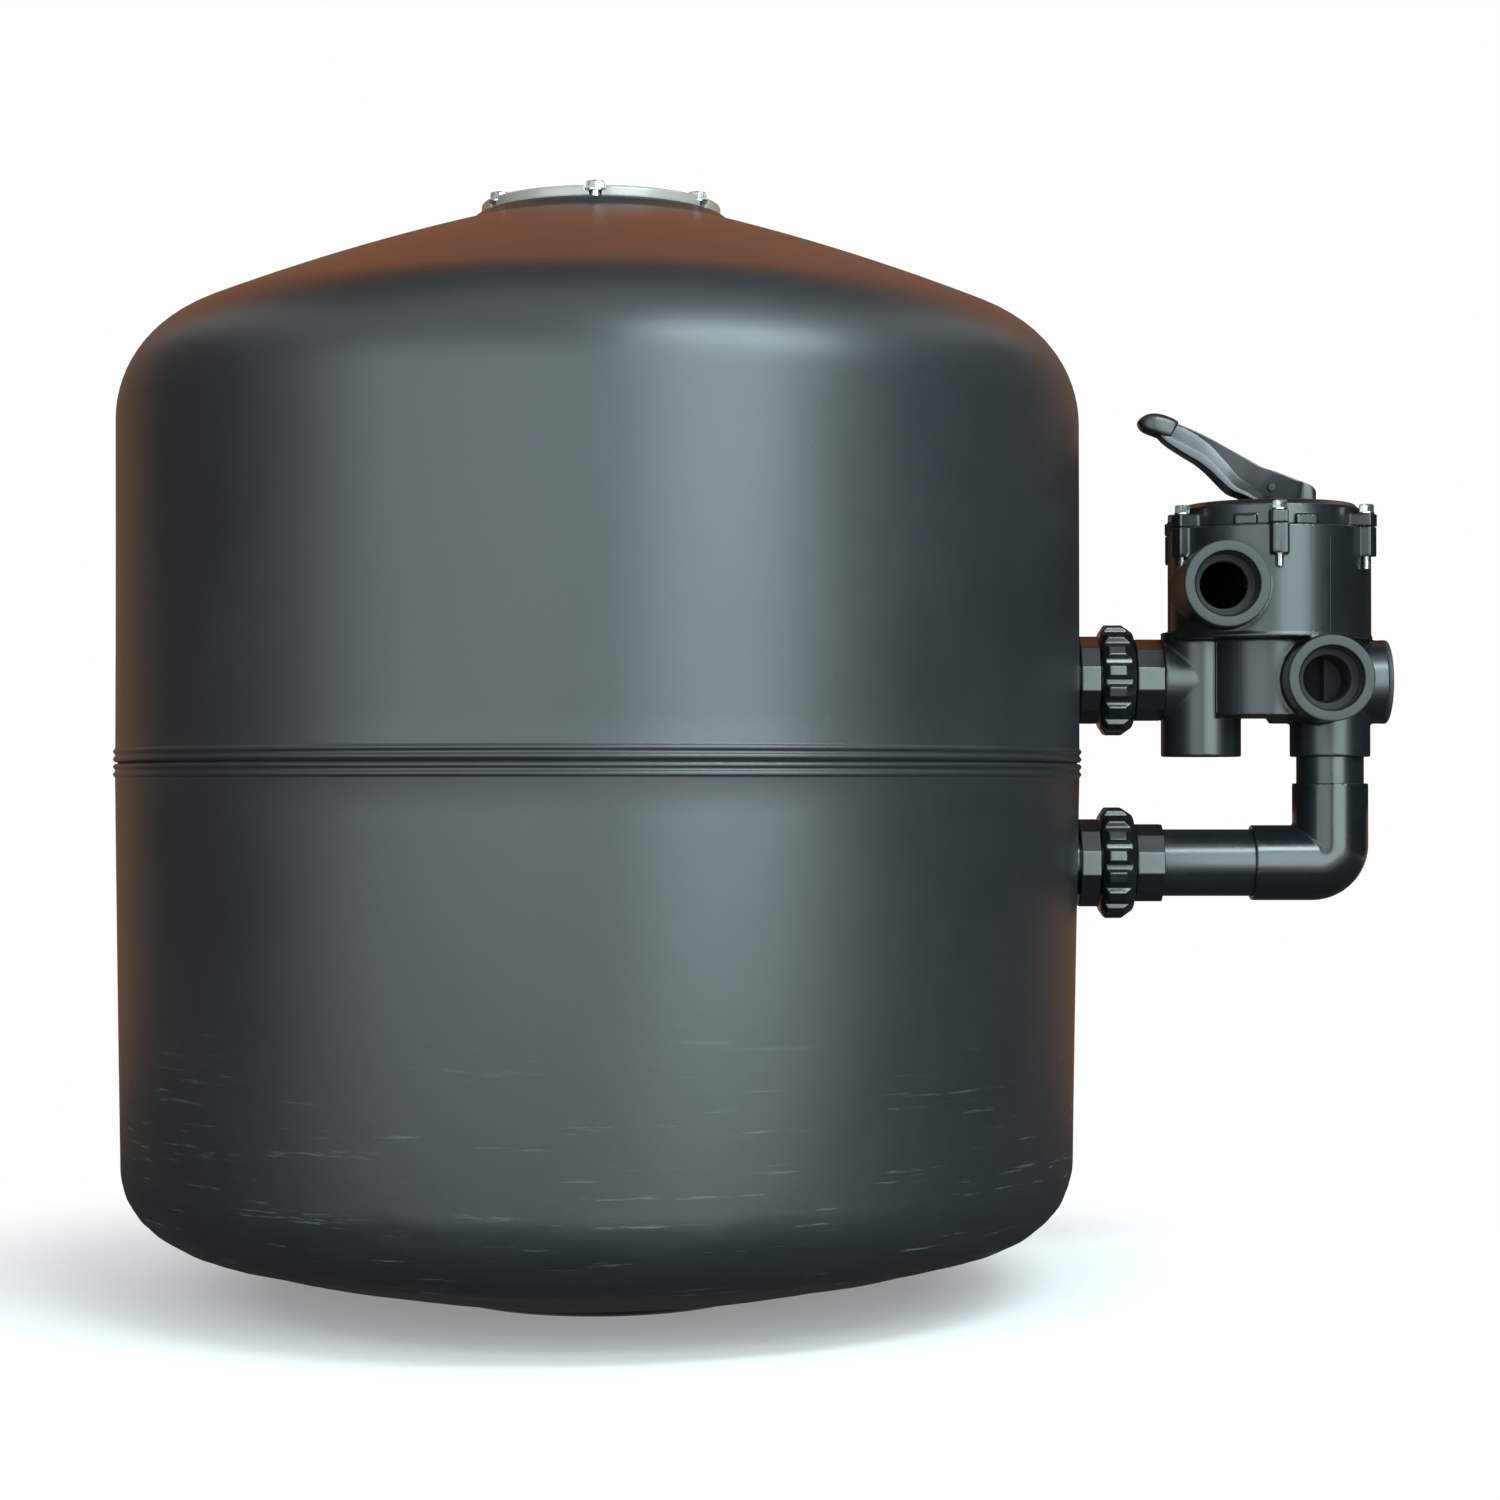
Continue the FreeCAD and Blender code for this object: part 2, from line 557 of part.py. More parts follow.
def lid_bolts():
    head_base = LID_WASHER_BASE + LID_WASHER_THICKNESS
    shank_base = NECK_TOP_HEIGHT - LID_BOLT_GRIP
    place = V(0, -LID_BOLT_CIRCLE, head_base)
    head = polygon_bar(6, LID_BOLT_HEAD_FLATS, LID_BOLT_HEAD_HEIGHT, place, Z_AXIS)
    shank = tube_solid(LID_BOLT_RADIUS, head_base - shank_base, V(0, -LID_BOLT_CIRCLE, shank_base), Z_AXIS)
    return Part.makeCompound(around(fused([head, shank]), LID_BOLT_COUNT, V(0, 0, 0)))


def lid_washers():
    washer = ring_solid(LID_WASHER_RADIUS, LID_BOLT_RADIUS, LID_WASHER_THICKNESS,
                        V(0, -LID_BOLT_CIRCLE, LID_WASHER_BASE), Z_AXIS)
    return Part.makeCompound(around(washer, LID_BOLT_COUNT, V(0, 0, 0)))


def turned(points, height):
    """An outline of (x, radius) points turned about a horizontal axis at a port height."""
    outline = [V(x, 0, height + r) for x, r in points]
    return revolved(outline, V(0, 0, height), X_AXIS)


def tank_connector(height):
    """Flanged tube through the wall, with a pipe socket inside and a union thread outside."""
    flange_face = PAD_INNER_FACE - CONNECTOR_GASKET
    flange_back = flange_face - CONNECTOR_FLANGE_WIDTH
    socket_mouth = flange_back - CONNECTOR_SOCKET_DEPTH
    socket_outer = INNER_PIPE_RADIUS + CONNECTOR_SOCKET_WALL
    body = turned([(socket_mouth, INNER_PIPE_RADIUS), (socket_mouth, socket_outer),
                   (flange_back, socket_outer), (flange_back, CONNECTOR_FLANGE),
                   (flange_face, CONNECTOR_FLANGE), (flange_face, CONNECTOR_TUBE),
                   (UNION_START, CONNECTOR_TUBE), (UNION_START, UNION_THREAD_RADIUS),
                   (UNION_FACE, UNION_THREAD_RADIUS), (UNION_FACE, CONNECTOR_BORE),
                   (flange_back, CONNECTOR_BORE), (flange_back, INNER_PIPE_RADIUS)], height)
    return body.cut(union_seal(height))


def tank_gasket(height):
    return ring_solid(CONNECTOR_FLANGE, CONNECTOR_TUBE, CONNECTOR_GASKET,
                      V(PAD_INNER_FACE - CONNECTOR_GASKET, 0, height), X_AXIS)


def tank_nut(height):
    bar = polygon_bar(TANK_NUT_SIDES, TANK_NUT_FLATS, TANK_NUT_WIDTH, V(PAD_FACE, 0, height), X_AXIS)
    return bar.cut(tube_solid(CONNECTOR_TUBE, TANK_NUT_WIDTH, V(PAD_FACE, 0, height), X_AXIS))


def union_seal(height):
    """Flat rubber ring in a recess of the connector, pressed by the tail flange."""
    return ring_solid(UNION_SEAL_OUTER, UNION_SEAL_INNER, UNION_SEAL_DEPTH,
                      V(TAIL_START - UNION_SEAL_DEPTH, 0, height), X_AXIS)


def union_nut(height):
    """Hand nut with gripping lobes, bored over the thread and lipped behind the tail flange."""
    points = []
    pitch = 360 / UNION_NUT_LOBES
    shares = ((0.0, UNION_NUT_ROOT), (0.14, UNION_NUT_CREST), (0.60, UNION_NUT_CREST), (0.74, UNION_NUT_ROOT))
    for index in range(UNION_NUT_LOBES):
        for share, radius in shares:
            angle = (index + share) * pitch
            points.append(V(UNION_START, radius * sine(angle), height + radius * cosine(angle)))
    lobes = prism(points, X_AXIS * UNION_NUT_LENGTH)
    end = UNION_START + UNION_NUT_LENGTH
    root = UNION_NUT_ROOT - UNION_NUT_CHAMFER / 2
    envelope = turned([(UNION_START, 0), (UNION_START, root), (UNION_START + UNION_NUT_CHAMFER, UNION_NUT_CREST + 1),
                       (end - UNION_NUT_CHAMFER * 2, UNION_NUT_CREST + 1), (end, root), (end, 0)], height)
    lip_start = TAIL_START + TAIL_FLANGE_WIDTH
    bore = tube_solid(UNION_THREAD_RADIUS, lip_start - UNION_START, V(UNION_START, 0, height), X_AXIS)
    throat = tube_solid(TAIL_NECK_RADIUS + FIT_GAP, UNION_NUT_LENGTH, V(UNION_START, 0, height), X_AXIS)
    return lobes.common(envelope).cut([bore, throat])


def union_tail(height, flats):
    """Tail piece: flange held by the nut, plain neck and a faceted collar over the pipe end."""
    flange_end = TAIL_START + TAIL_FLANGE_WIDTH
    body = turned([(TAIL_START, CONNECTOR_BORE), (TAIL_START, TAIL_FLANGE_RADIUS),
                   (flange_end, TAIL_FLANGE_RADIUS), (flange_end, TAIL_NECK_RADIUS),
                   (TAIL_COLLAR_START, TAIL_NECK_RADIUS), (TAIL_COLLAR_START, CONNECTOR_BORE)], height)
    collar = polygon_bar(TAIL_COLLAR_SIDES, flats, TAIL_COLLAR_WIDTH, V(TAIL_COLLAR_START, 0, height), X_AXIS)
    socket = tube_solid(PIPE_RADIUS, SOCKET_DEPTH, V(SOCKET_STOP, 0, height), X_AXIS)
    bore = tube_solid(CONNECTOR_BORE, SOCKET_DEPTH * 2, V(TAIL_START, 0, height), X_AXIS)
    return fused([body, collar]).cut([socket, bore])


def bend(radius, bend_radius, centre, leg, side):
    """Solid of a tight elbow: two legs and a quarter turn with a sharp inner corner.
    The first leg runs to -X or +X by side.x, the second up or down by side.z."""
    pivot = centre + V(side.x * bend_radius, 0, side.z * bend_radius)
    first = tube_solid(radius, leg - bend_radius, V(pivot.x, 0, centre.z), V(side.x, 0, 0))
    second = tube_solid(radius, leg - bend_radius, V(centre.x, 0, pivot.z), V(0, 0, side.z))
    reach = radius + bend_radius
    section = Part.Face(Part.Wire(Part.makeCircle(radius, V(pivot.x, 0, centre.z), X_AXIS)))
    keep = Part.makeBox(2, 2 * radius + 2, reach + 1, V(pivot.x - 1, -radius - 1,
                        min(pivot.z, pivot.z - side.z * (reach + 1))))
    section = section.common(keep)
    turn = 90 if side.x * side.z > 0 else -90
    quarter = section.revolve(pivot, Y_AXIS, turn)
    return fused([first, second, quarter])


def pipe_elbow():
    """Solvent-welded elbow with a socket at each end."""
    centre = V(RIGHT_CHAMBER_X, 0, LOWER_PORT_HEIGHT)
    side = V(-1, 0, 1)
    outer = bend(PIPE_RADIUS + ELBOW_WALL, ELBOW_BEND, centre, ELBOW_LEG, side)
    bore = bend(PIPE_RADIUS - PIPE_WALL, ELBOW_BEND, centre, ELBOW_LEG, side)
    mouth_x = centre.x - ELBOW_LEG
    mouth_z = centre.z + ELBOW_LEG
    level = tube_solid(PIPE_RADIUS, SOCKET_DEPTH, V(mouth_x, 0, centre.z), X_AXIS)
    upright = tube_solid(PIPE_RADIUS, SOCKET_DEPTH, V(centre.x, 0, mouth_z - SOCKET_DEPTH), Z_AXIS)
    return outer.cut([bore, level, upright])


def lower_pipe():
    end = RIGHT_CHAMBER_X - ELBOW_LEG + SOCKET_DEPTH
    return ring_solid(PIPE_RADIUS, PIPE_RADIUS - PIPE_WALL, end - SOCKET_STOP,
                      V(SOCKET_STOP, 0, LOWER_PORT_HEIGHT), X_AXIS)


def riser_pipe():
    low = LOWER_PORT_HEIGHT + ELBOW_LEG - SOCKET_DEPTH
    high = CHAMBER_BOTTOM + SOCKET_DEPTH
    return ring_solid(PIPE_RADIUS, PIPE_RADIUS - PIPE_WALL, high - low, V(RIGHT_CHAMBER_X, 0, low), Z_AXIS)


def socket_plug():
    """Disc that closes the unused downward socket."""
    depth = SOCKET_DEPTH - PLUG_INSET
    low = CHAMBER_BOTTOM + PLUG_INSET
    outer = tube_solid(PIPE_RADIUS, depth, V(LEFT_CHAMBER_X, 0, low), Z_AXIS)
    hollow = tube_solid(PIPE_RADIUS - PIPE_WALL, depth - PIPE_WALL, V(LEFT_CHAMBER_X, 0, low + PIPE_WALL), Z_AXIS)
    return outer.cut(hollow)


def lug_bar(inner, low, height):
    """One lug at the front of the valve, before it is turned to its place."""
    return Part.makeBox(LUG_WIDTH, LUG_REACH - inner, height, V(VALVE_X - LUG_WIDTH / 2, -LUG_REACH, low))


def lugs(shape):
    """Copies of a shape at every lug of the cover joint."""
    return around(shape, LUG_COUNT, V(VALVE_X, 0, 0), LUG_PHASE)


def sector_cutter(inner, outer, low, high, clear, count=SECTOR_COUNT):
    """Pie-shaped cutters between radial webs, spaced evenly about the valve's axis."""
    cutters = []
    for index in range(count):
        middle = index * 360 / count
        half = 180 / count
        inset = clear / sine(half)
        tip = V(VALVE_X + inset * cosine(middle), inset * sine(middle), low)
        reach = outer * 2
        first = tip + V(reach * cosine(middle - half), reach * sine(middle - half), 0)
        last = tip + V(reach * cosine(middle + half), reach * sine(middle + half), 0)
        wedge = prism([tip, first, last], V(0, 0, high - low))
        hollow = ring_solid(outer, inner, high - low, V(VALVE_X, 0, low), Z_AXIS)
        cutters.append(wedge.common(hollow))
    return cutters


def valve_body():
    """Moulded body: rotor chamber above, passages with webs below, ports, sockets and lugs."""
    upper = tube_solid(UPPER_BODY_RADIUS, UPPER_BODY_HEIGHT, V(VALVE_X, 0, DECK_BOTTOM), Z_AXIS)
    bead = tube_solid(UPPER_BODY_RADIUS + STEP_BEAD_RISE, STEP_BEAD_HEIGHT,
                      V(VALVE_X, 0, DECK_BOTTOM), Z_AXIS)
    lower = tube_solid(LOWER_BODY_RADIUS, LOWER_BODY_DROP + LOWER_BODY_RISE,
                       V(VALVE_X, 0, LOWER_BODY_BOTTOM), Z_AXIS)
    left = tube_solid(CHAMBER_RADIUS, DECK_TOP - CHAMBER_BOTTOM, V(LEFT_CHAMBER_X, 0, CHAMBER_BOTTOM), Z_AXIS)
    right = tube_solid(CHAMBER_RADIUS, DECK_TOP - CHAMBER_BOTTOM, V(RIGHT_CHAMBER_X, 0, CHAMBER_BOTTOM), Z_AXIS)
    branch = tube_solid(BRANCH_RADIUS, BRANCH_LENGTH, V(TAIL_END, 0, UPPER_PORT_HEIGHT), X_AXIS)
    spigot = tube_solid(PIPE_RADIUS, SOCKET_DEPTH + 1, V(SOCKET_STOP, 0, UPPER_PORT_HEIGHT), X_AXIS)
    port_a = V(VALVE_X + PORT_A_OFFSET, -PORT_REACH, PORT_A_HEIGHT)
    port_b = V(VALVE_X + PORT_B_OFFSET, -PORT_REACH, PORT_B_HEIGHT)
    port_c = V(SIDE_PORT_FACE, 0, PORT_B_HEIGHT)
    neck_a = tube_solid(PORT_RADIUS, PORT_REACH, port_a, Y_AXIS)
    neck_b = tube_solid(PORT_RADIUS, PORT_REACH, port_b, Y_AXIS)
    neck_c = tube_solid(PORT_RADIUS, SIDE_PORT_REACH, port_c, X_AXIS * -1)
    body_lugs = lugs(lug_bar(UPPER_BODY_RADIUS - UPPER_BODY_WALL / 2, RIM_TOP - BODY_LUG_HEIGHT, BODY_LUG_HEIGHT))
    solid = fused([upper, bead, lower, left, right, branch, spigot, neck_a, neck_b, neck_c] + body_lugs)

    chamber = tube_solid(UPPER_BODY_RADIUS - UPPER_BODY_WALL, UPPER_BODY_HEIGHT - VALVE_DECK - RIM_HEIGHT,
                         V(VALVE_X, 0, DECK_TOP), Z_AXIS)
    mouth = tube_solid(RIM_OPENING_RADIUS, RIM_HEIGHT + 2, V(VALVE_X, 0, RIM_TOP - RIM_HEIGHT - 1), Z_AXIS)
    cavity_low = LOWER_BODY_BOTTOM + LOWER_FLOOR
    cavity = sector_cutter(WEB_POST_RADIUS, LOWER_BODY_RADIUS - LOWER_BODY_WALL,
                           cavity_low, DECK_BOTTOM, WEB_THICKNESS / 2)
    slots = sector_cutter(DECK_SLOT_INNER, DECK_SLOT_OUTER, DECK_BOTTOM - 1, DECK_TOP, WEB_THICKNESS / 2)
    left_bore = tube_solid(CHAMBER_BORE, DECK_BOTTOM - PIPE_WALL - CHAMBER_BOTTOM,
                           V(LEFT_CHAMBER_X, 0, CHAMBER_BOTTOM), Z_AXIS)
    left_socket = tube_solid(PIPE_RADIUS, SOCKET_DEPTH, V(LEFT_CHAMBER_X, 0, CHAMBER_BOTTOM), Z_AXIS)
    branch_bore = tube_solid(CONNECTOR_BORE, LEFT_CHAMBER_X - SOCKET_STOP,
                             V(SOCKET_STOP, 0, UPPER_PORT_HEIGHT), X_AXIS)
    right_socket = tube_solid(PIPE_RADIUS, SOCKET_DEPTH, V(RIGHT_CHAMBER_X, 0, CHAMBER_BOTTOM), Z_AXIS)
    right_bore = tube_solid(CHAMBER_BORE, SOCKET_DEPTH + LOWER_BODY_WALL,
                            V(RIGHT_CHAMBER_X, 0, CHAMBER_BOTTOM), Z_AXIS)
    duct_start = V(RIGHT_CHAMBER_X, DUCT_FOOT, CHAMBER_BOTTOM + SOCKET_DEPTH - 1)
    duct_end = V(VALVE_X + DUCT_HEAD_X, DUCT_HEAD_Y, cavity_low + DUCT_HEAD_RISE)
    duct_run = duct_end - duct_start
    duct = tube_solid(DUCT_RADIUS, duct_run.Length, duct_start, duct_run)
    cuts = [chamber, mouth, left_bore, left_socket, branch_bore, right_socket, right_bore, duct]
    for face, inward, passage in ((port_a, Y_AXIS, PORT_A_PASSAGE), (port_b, Y_AXIS, PORT_B_PASSAGE),
                                  (port_c, X_AXIS * -1, PORT_C_PASSAGE)):
        cuts.append(tube_solid(PORT_BORE, PORT_THREAD_LENGTH, face, inward))
        cuts.append(tube_solid(PORT_PASSAGE, passage, face, inward))
    bolt_length = BODY_LUG_HEIGHT + COVER_BOLT_END
    bolt_end = V(VALVE_X, -COVER_BOLT_CIRCLE, RIM_TOP - bolt_length)
    bolt_hole = tube_solid(COVER_BOLT_RADIUS, bolt_length, bolt_end, Z_AXIS)
    insert_end = V(VALVE_X, -COVER_BOLT_CIRCLE, RIM_TOP - BODY_LUG_HEIGHT)
    insert_hole = tube_solid(INSERT_RADIUS, INSERT_LENGTH, insert_end, Z_AXIS)
    cuts += lugs(bolt_hole) + lugs(insert_hole)
    return solid.cut(cuts + cavity + slots)


def cover_seal_solid():
    """Rubber ring between the cover and the rim, drawn with an eight-sided section."""
    points = []
    for index in range(8):
        angle = (index + 0.5) * 45
        points.append(V(VALVE_X + COVER_RING_RADIUS + COVER_RING_SECTION * cosine(angle), 0,
                        RIM_TOP + COVER_RING_SECTION * sine(angle)))
    return revolved(points, V(VALVE_X, 0, 0), Z_AXIS)


def spider_gasket():
    """Rubber seal on the deck: two rings joined by a spoke over each web."""
    plate = ring_solid(DECK_SLOT_OUTER + GASKET_RING, DECK_SLOT_INNER - GASKET_RING,
                       GASKET_THICKNESS, V(VALVE_X, 0, DECK_TOP), Z_AXIS)
    return plate.cut(sector_cutter(DECK_SLOT_INNER, DECK_SLOT_OUTER, DECK_TOP - 1,
                                   DECK_TOP + GASKET_THICKNESS + 1, WEB_THICKNESS / 2))


def valve_cover():
    """Drum-shaped cover with ribs above, a skirt and stem boss below, and six bolted lugs."""
    skirt_outer = RIM_OPENING_RADIUS - FIT_GAP
    skirt_inner = skirt_outer - COVER_SKIRT_WALL
    skirt_base = RIM_TOP - COVER_SKIRT_DEPTH
    boss_base = COVER_TOP - COVER_BOSS_DEPTH - COVER_PLATE
    outline = [(STEM_RADIUS + STEM_CLEARANCE, boss_base), (COVER_BOSS_RADIUS, boss_base),
               (COVER_BOSS_RADIUS, COVER_CEILING), (skirt_inner, COVER_CEILING), (skirt_inner, skirt_base),
               (skirt_outer, skirt_base), (skirt_outer, RIM_TOP), (COVER_RADIUS, RIM_TOP),
               (COVER_RADIUS, COVER_TOP - COVER_CORNER), (COVER_RADIUS - COVER_CORNER, COVER_TOP),
               (STEM_RADIUS + STEM_CLEARANCE, COVER_TOP)]
    drum = revolved([V(VALVE_X + r, 0, z) for r, z in outline], V(VALVE_X, 0, 0), Z_AXIS)
    cover_lugs = lugs(lug_bar(COVER_RADIUS - COVER_CORNER, RIM_TOP, COVER_LUG_HEIGHT))
    tabs = []
    for angle in COVER_TAB_ANGLES:
        tab = Part.makeBox(COVER_TAB_WIDTH, COVER_CORNER + COVER_TAB_RISE, COVER_TAB_HEIGHT,
                           V(VALVE_X - COVER_TAB_WIDTH / 2, -COVER_RADIUS - COVER_TAB_RISE, RIM_TOP))
        tab.rotate(V(VALVE_X, 0, 0), Z_AXIS, angle)
        tabs.append(tab)
    cover = fused([drum] + cover_lugs + tabs)
    hole = tube_solid(COVER_BOLT_RADIUS, COVER_LUG_HEIGHT + 2, V(VALVE_X, -COVER_BOLT_CIRCLE, RIM_TOP - 1), Z_AXIS)
    pockets = sector_cutter(COVER_POCKET_INNER, COVER_POCKET_OUTER, COVER_TOP - COVER_POCKET_DEPTH,
                            COVER_TOP + 1, COVER_RIB_THICKNESS / 2, COVER_RIB_COUNT)
    return cover.cut([cover_seal_solid()] + lugs(hole) + pockets)


def cover_seal():
    below = tube_solid(UPPER_BODY_RADIUS, COVER_RING_SECTION, V(VALVE_X, 0, RIM_TOP - COVER_RING_SECTION), Z_AXIS)
    return cover_seal_solid().cut(below)


def cover_bolts():
    head_base = RIM_TOP + COVER_LUG_HEIGHT + COVER_WASHER_THICKNESS
    end = RIM_TOP - BODY_LUG_HEIGHT - COVER_BOLT_END
    head = polygon_bar(6, COVER_BOLT_HEAD_FLATS, COVER_BOLT_HEAD_HEIGHT,
                       V(VALVE_X, -COVER_BOLT_CIRCLE, head_base), Z_AXIS)
    shank = tube_solid(COVER_BOLT_RADIUS, head_base - end, V(VALVE_X, -COVER_BOLT_CIRCLE, end), Z_AXIS)
    return Part.makeCompound(lugs(fused([head, shank])))


def cover_washers():
    washer = ring_solid(COVER_WASHER_RADIUS, COVER_BOLT_RADIUS, COVER_WASHER_THICKNESS,
                        V(VALVE_X, -COVER_BOLT_CIRCLE, RIM_TOP + COVER_LUG_HEIGHT), Z_AXIS)
    return Part.makeCompound(lugs(washer))


def cover_inserts():
    insert = ring_solid(INSERT_RADIUS, COVER_BOLT_RADIUS, INSERT_LENGTH,
                        V(VALVE_X, -COVER_BOLT_CIRCLE, RIM_TOP - BODY_LUG_HEIGHT), Z_AXIS)
    return Part.makeCompound(lugs(insert))


def rotor():
    """Distributor that turns on the gasket: dished disc with one open passage and a hub."""
    flat_radius = SPRING_RADIUS + SPRING_WIRE + SPRING_CLEARANCE
    outline = [(0, ROTOR_BASE), (ROTOR_RADIUS, ROTOR_BASE), (ROTOR_RADIUS, ROTOR_TOP),
               (ROTOR_RADIUS - ROTOR_RIM, ROTOR_TOP), (flat_radius, ROTOR_TOP - ROTOR_DISH),
               (ROTOR_HUB_RADIUS, ROTOR_TOP - ROTOR_DISH), (ROTOR_HUB_RADIUS, HUB_TOP), (0, HUB_TOP)]
    disc = revolved([V(VALVE_X + r, 0, z) for r, z in outline], V(VALVE_X, 0, 0), Z_AXIS)
    seat = tube_solid(STEM_RADIUS, STEM_SEAT_DEPTH, V(VALVE_X, 0, HUB_TOP - STEM_SEAT_DEPTH), Z_AXIS)
    passage = sector_cutter(DECK_SLOT_INNER, DECK_SLOT_OUTER, ROTOR_BASE - 1, ROTOR_TOP + 1, WEB_THICKNESS)[0]
    bridge = sector_cutter(DECK_SLOT_INNER, DECK_SLOT_OUTER, ROTOR_BASE - 1, ROTOR_BASE + ROTOR_BRIDGE_DEPTH,
                           WEB_THICKNESS)[2]
    return disc.cut([seat, passage, bridge])


def stem_ring_heights():
    low = COVER_TOP - COVER_PLATE - STEM_RING_PITCH
    return [low + index * STEM_RING_PITCH for index in range(STEM_RING_COUNT)]


def stem():
    """Round shaft from the rotor hub through the cover to the rounded eye that holds the pin."""
    low = HUB_TOP - STEM_SEAT_DEPTH
    shaft = tube_solid(STEM_RADIUS, PIN_HEIGHT - low, V(VALVE_X, 0, low), Z_AXIS)
    eye = tube_solid(EYE_RADIUS, 2 * STEM_RADIUS, V(VALVE_X, -STEM_RADIUS, PIN_HEIGHT), Y_AXIS)
    column = tube_solid(STEM_RADIUS, PIN_HEIGHT + EYE_RADIUS - low, V(VALVE_X, 0, low), Z_AXIS)
    shape = fused([shaft, eye.common(column)])
    cuts = [tube_solid(PIN_RADIUS, 2 * STEM_RADIUS, V(VALVE_X, -STEM_RADIUS, PIN_HEIGHT), Y_AXIS)]
    for height in stem_ring_heights():
        cuts.append(ring_solid(STEM_RADIUS + 1, STEM_RADIUS - STEM_RING_SECTION, 2 * STEM_RING_SECTION,
                               V(VALVE_X, 0, height), Z_AXIS))
    return shape.cut(cuts)


def stem_rings():
    rings = []
    for height in stem_ring_heights():
        rings.append(ring_solid(STEM_RADIUS, STEM_RADIUS - STEM_RING_SECTION, 2 * STEM_RING_SECTION,
                                V(VALVE_X, 0, height), Z_AXIS))
    return Part.makeCompound(rings)


def valve_spring():
    """Coil spring of square wire between the rotor and the cover, which presses the rotor on its gasket."""
    low = ROTOR_TOP - ROTOR_DISH + SPRING_WIRE + FIT_GAP
    high = COVER_CEILING - SPRING_WIRE - FIT_GAP
    pitch = (high - low) / SPRING_TURNS
    helix = Part.makeHelix(pitch, high - low, SPRING_RADIUS)
    corners = [V(SPRING_RADIUS + x * SPRING_WIRE, 0, z * SPRING_WIRE)
               for x, z in ((-1, -1), (1, -1), (1, 1), (-1, 1), (-1, -1))]
    coil = Part.Wire(helix).makePipeShell([Part.makePolygon(corners)], True, True)
    coil.translate(V(VALVE_X, 0, low))
    return coil


def thrust_washer():
    return ring_solid(THRUST_WASHER_RADIUS, STEM_RADIUS + STEM_CLEARANCE, THRUST_WASHER_THICKNESS,
                      V(VALVE_X, 0, WASHER_BASE), Z_AXIS)


def handle_pin():
    width = HANDLE_HUB_WIDTH
    return tube_solid(PIN_RADIUS, width, V(VALVE_X, -width / 2, PIN_HEIGHT), Y_AXIS)


def lever_point(along, rise):
    """A point of the lever's side view, as shares of its length and rise from the pin to its neck."""
    return V(-LEVER_LENGTH * along, 0, LEVER_RISE * rise)


def handle_outline(top_drop):
    """Closed side outline of the lever, with its top edge lowered by top_drop."""
    cam = V(-CAM_OFFSET * cosine(CAM_REST_ANGLE), 0, CAM_OFFSET * sine(CAM_REST_ANGLE))
    low = V(cam.x, 0, CAM_LOW)
    heel = cam + V(-CAM_RADIUS * cosine(CAM_HEEL_ANGLE), 0, -CAM_RADIUS * sine(CAM_HEEL_ANGLE))
    end_slant = V(sine(LEVER_SLOPE), 0, cosine(LEVER_SLOPE)) * (NECK_HEIGHT / 2)
    neck = lever_point(1, 1)
    top = [neck + end_slant] + [lever_point(*share) for share in LEVER_TOP]
    top += [V(CAM_OFFSET, 0, EYE_RADIUS + HANDLE_WEB), V(HANDLE_END, 0, -1)]
    top = [point - V(0, 0, top_drop) for point in top]
    curve = Part.BSplineCurve()
    curve.interpolate(top)
    base = V(HANDLE_END, 0, CAM_LOW)
    under = [heel] + [lever_point(*share) for share in LEVER_UNDER] + [neck - end_slant]
    edges = [curve.toShape(), line_edge(top[-1], base), line_edge(base, low), arc_edge(cam, low, heel)]
    edges += chain(under)
    edges.append(line_edge(under[-1], top[0]))
    return Part.Wire(Part.__sortEdges__(edges))


def side_plate(wire, width):
    """An outline about the pin as a plate centred on the valve."""
    plate = Part.Face(wire).extrude(V(0, width, 0))
    plate.translate(V(VALVE_X, -width / 2, PIN_HEIGHT))
    return plate


def lever_plan(hub_width, neck_width):
    """Tall block with the plan of the lever, which swells in a curve from its neck to its hub."""
    start = -LEVER_LENGTH - HANDLE_OVERRUN
    end = HANDLE_END + FIT_GAP
    curve = Part.BSplineCurve()
    curve.interpolate([V(start, -neck_width / 2, 0),
                       V(-LEVER_LENGTH * LEVER_WAIST_ALONG, -neck_width * LEVER_WAIST_SHARE, 0),
                       V(-2 * CAM_OFFSET, -hub_width * LEVER_SHOULDER_SHARE, 0), V(0, -hub_width / 2, 0)])
    near = curve.toShape()
    far = near.mirror(V(0, 0, 0), Y_AXIS)
    sides = [line_edge(V(0, -hub_width / 2, 0), V(end, -hub_width / 2, 0)),
             line_edge(V(end, -hub_width / 2, 0), V(end, hub_width / 2, 0)),
             line_edge(V(end, hub_width / 2, 0), V(0, hub_width / 2, 0)),
             line_edge(V(start, neck_width / 2, 0), V(start, -neck_width / 2, 0))]
    wire = Part.Wire(Part.__sortEdges__([near, far] + sides))
    block = Part.Face(wire).extrude(V(0, 0, 2 * LEVER_LENGTH))
    block.translate(V(VALVE_X, 0, PIN_HEIGHT - LEVER_LENGTH))
    return block


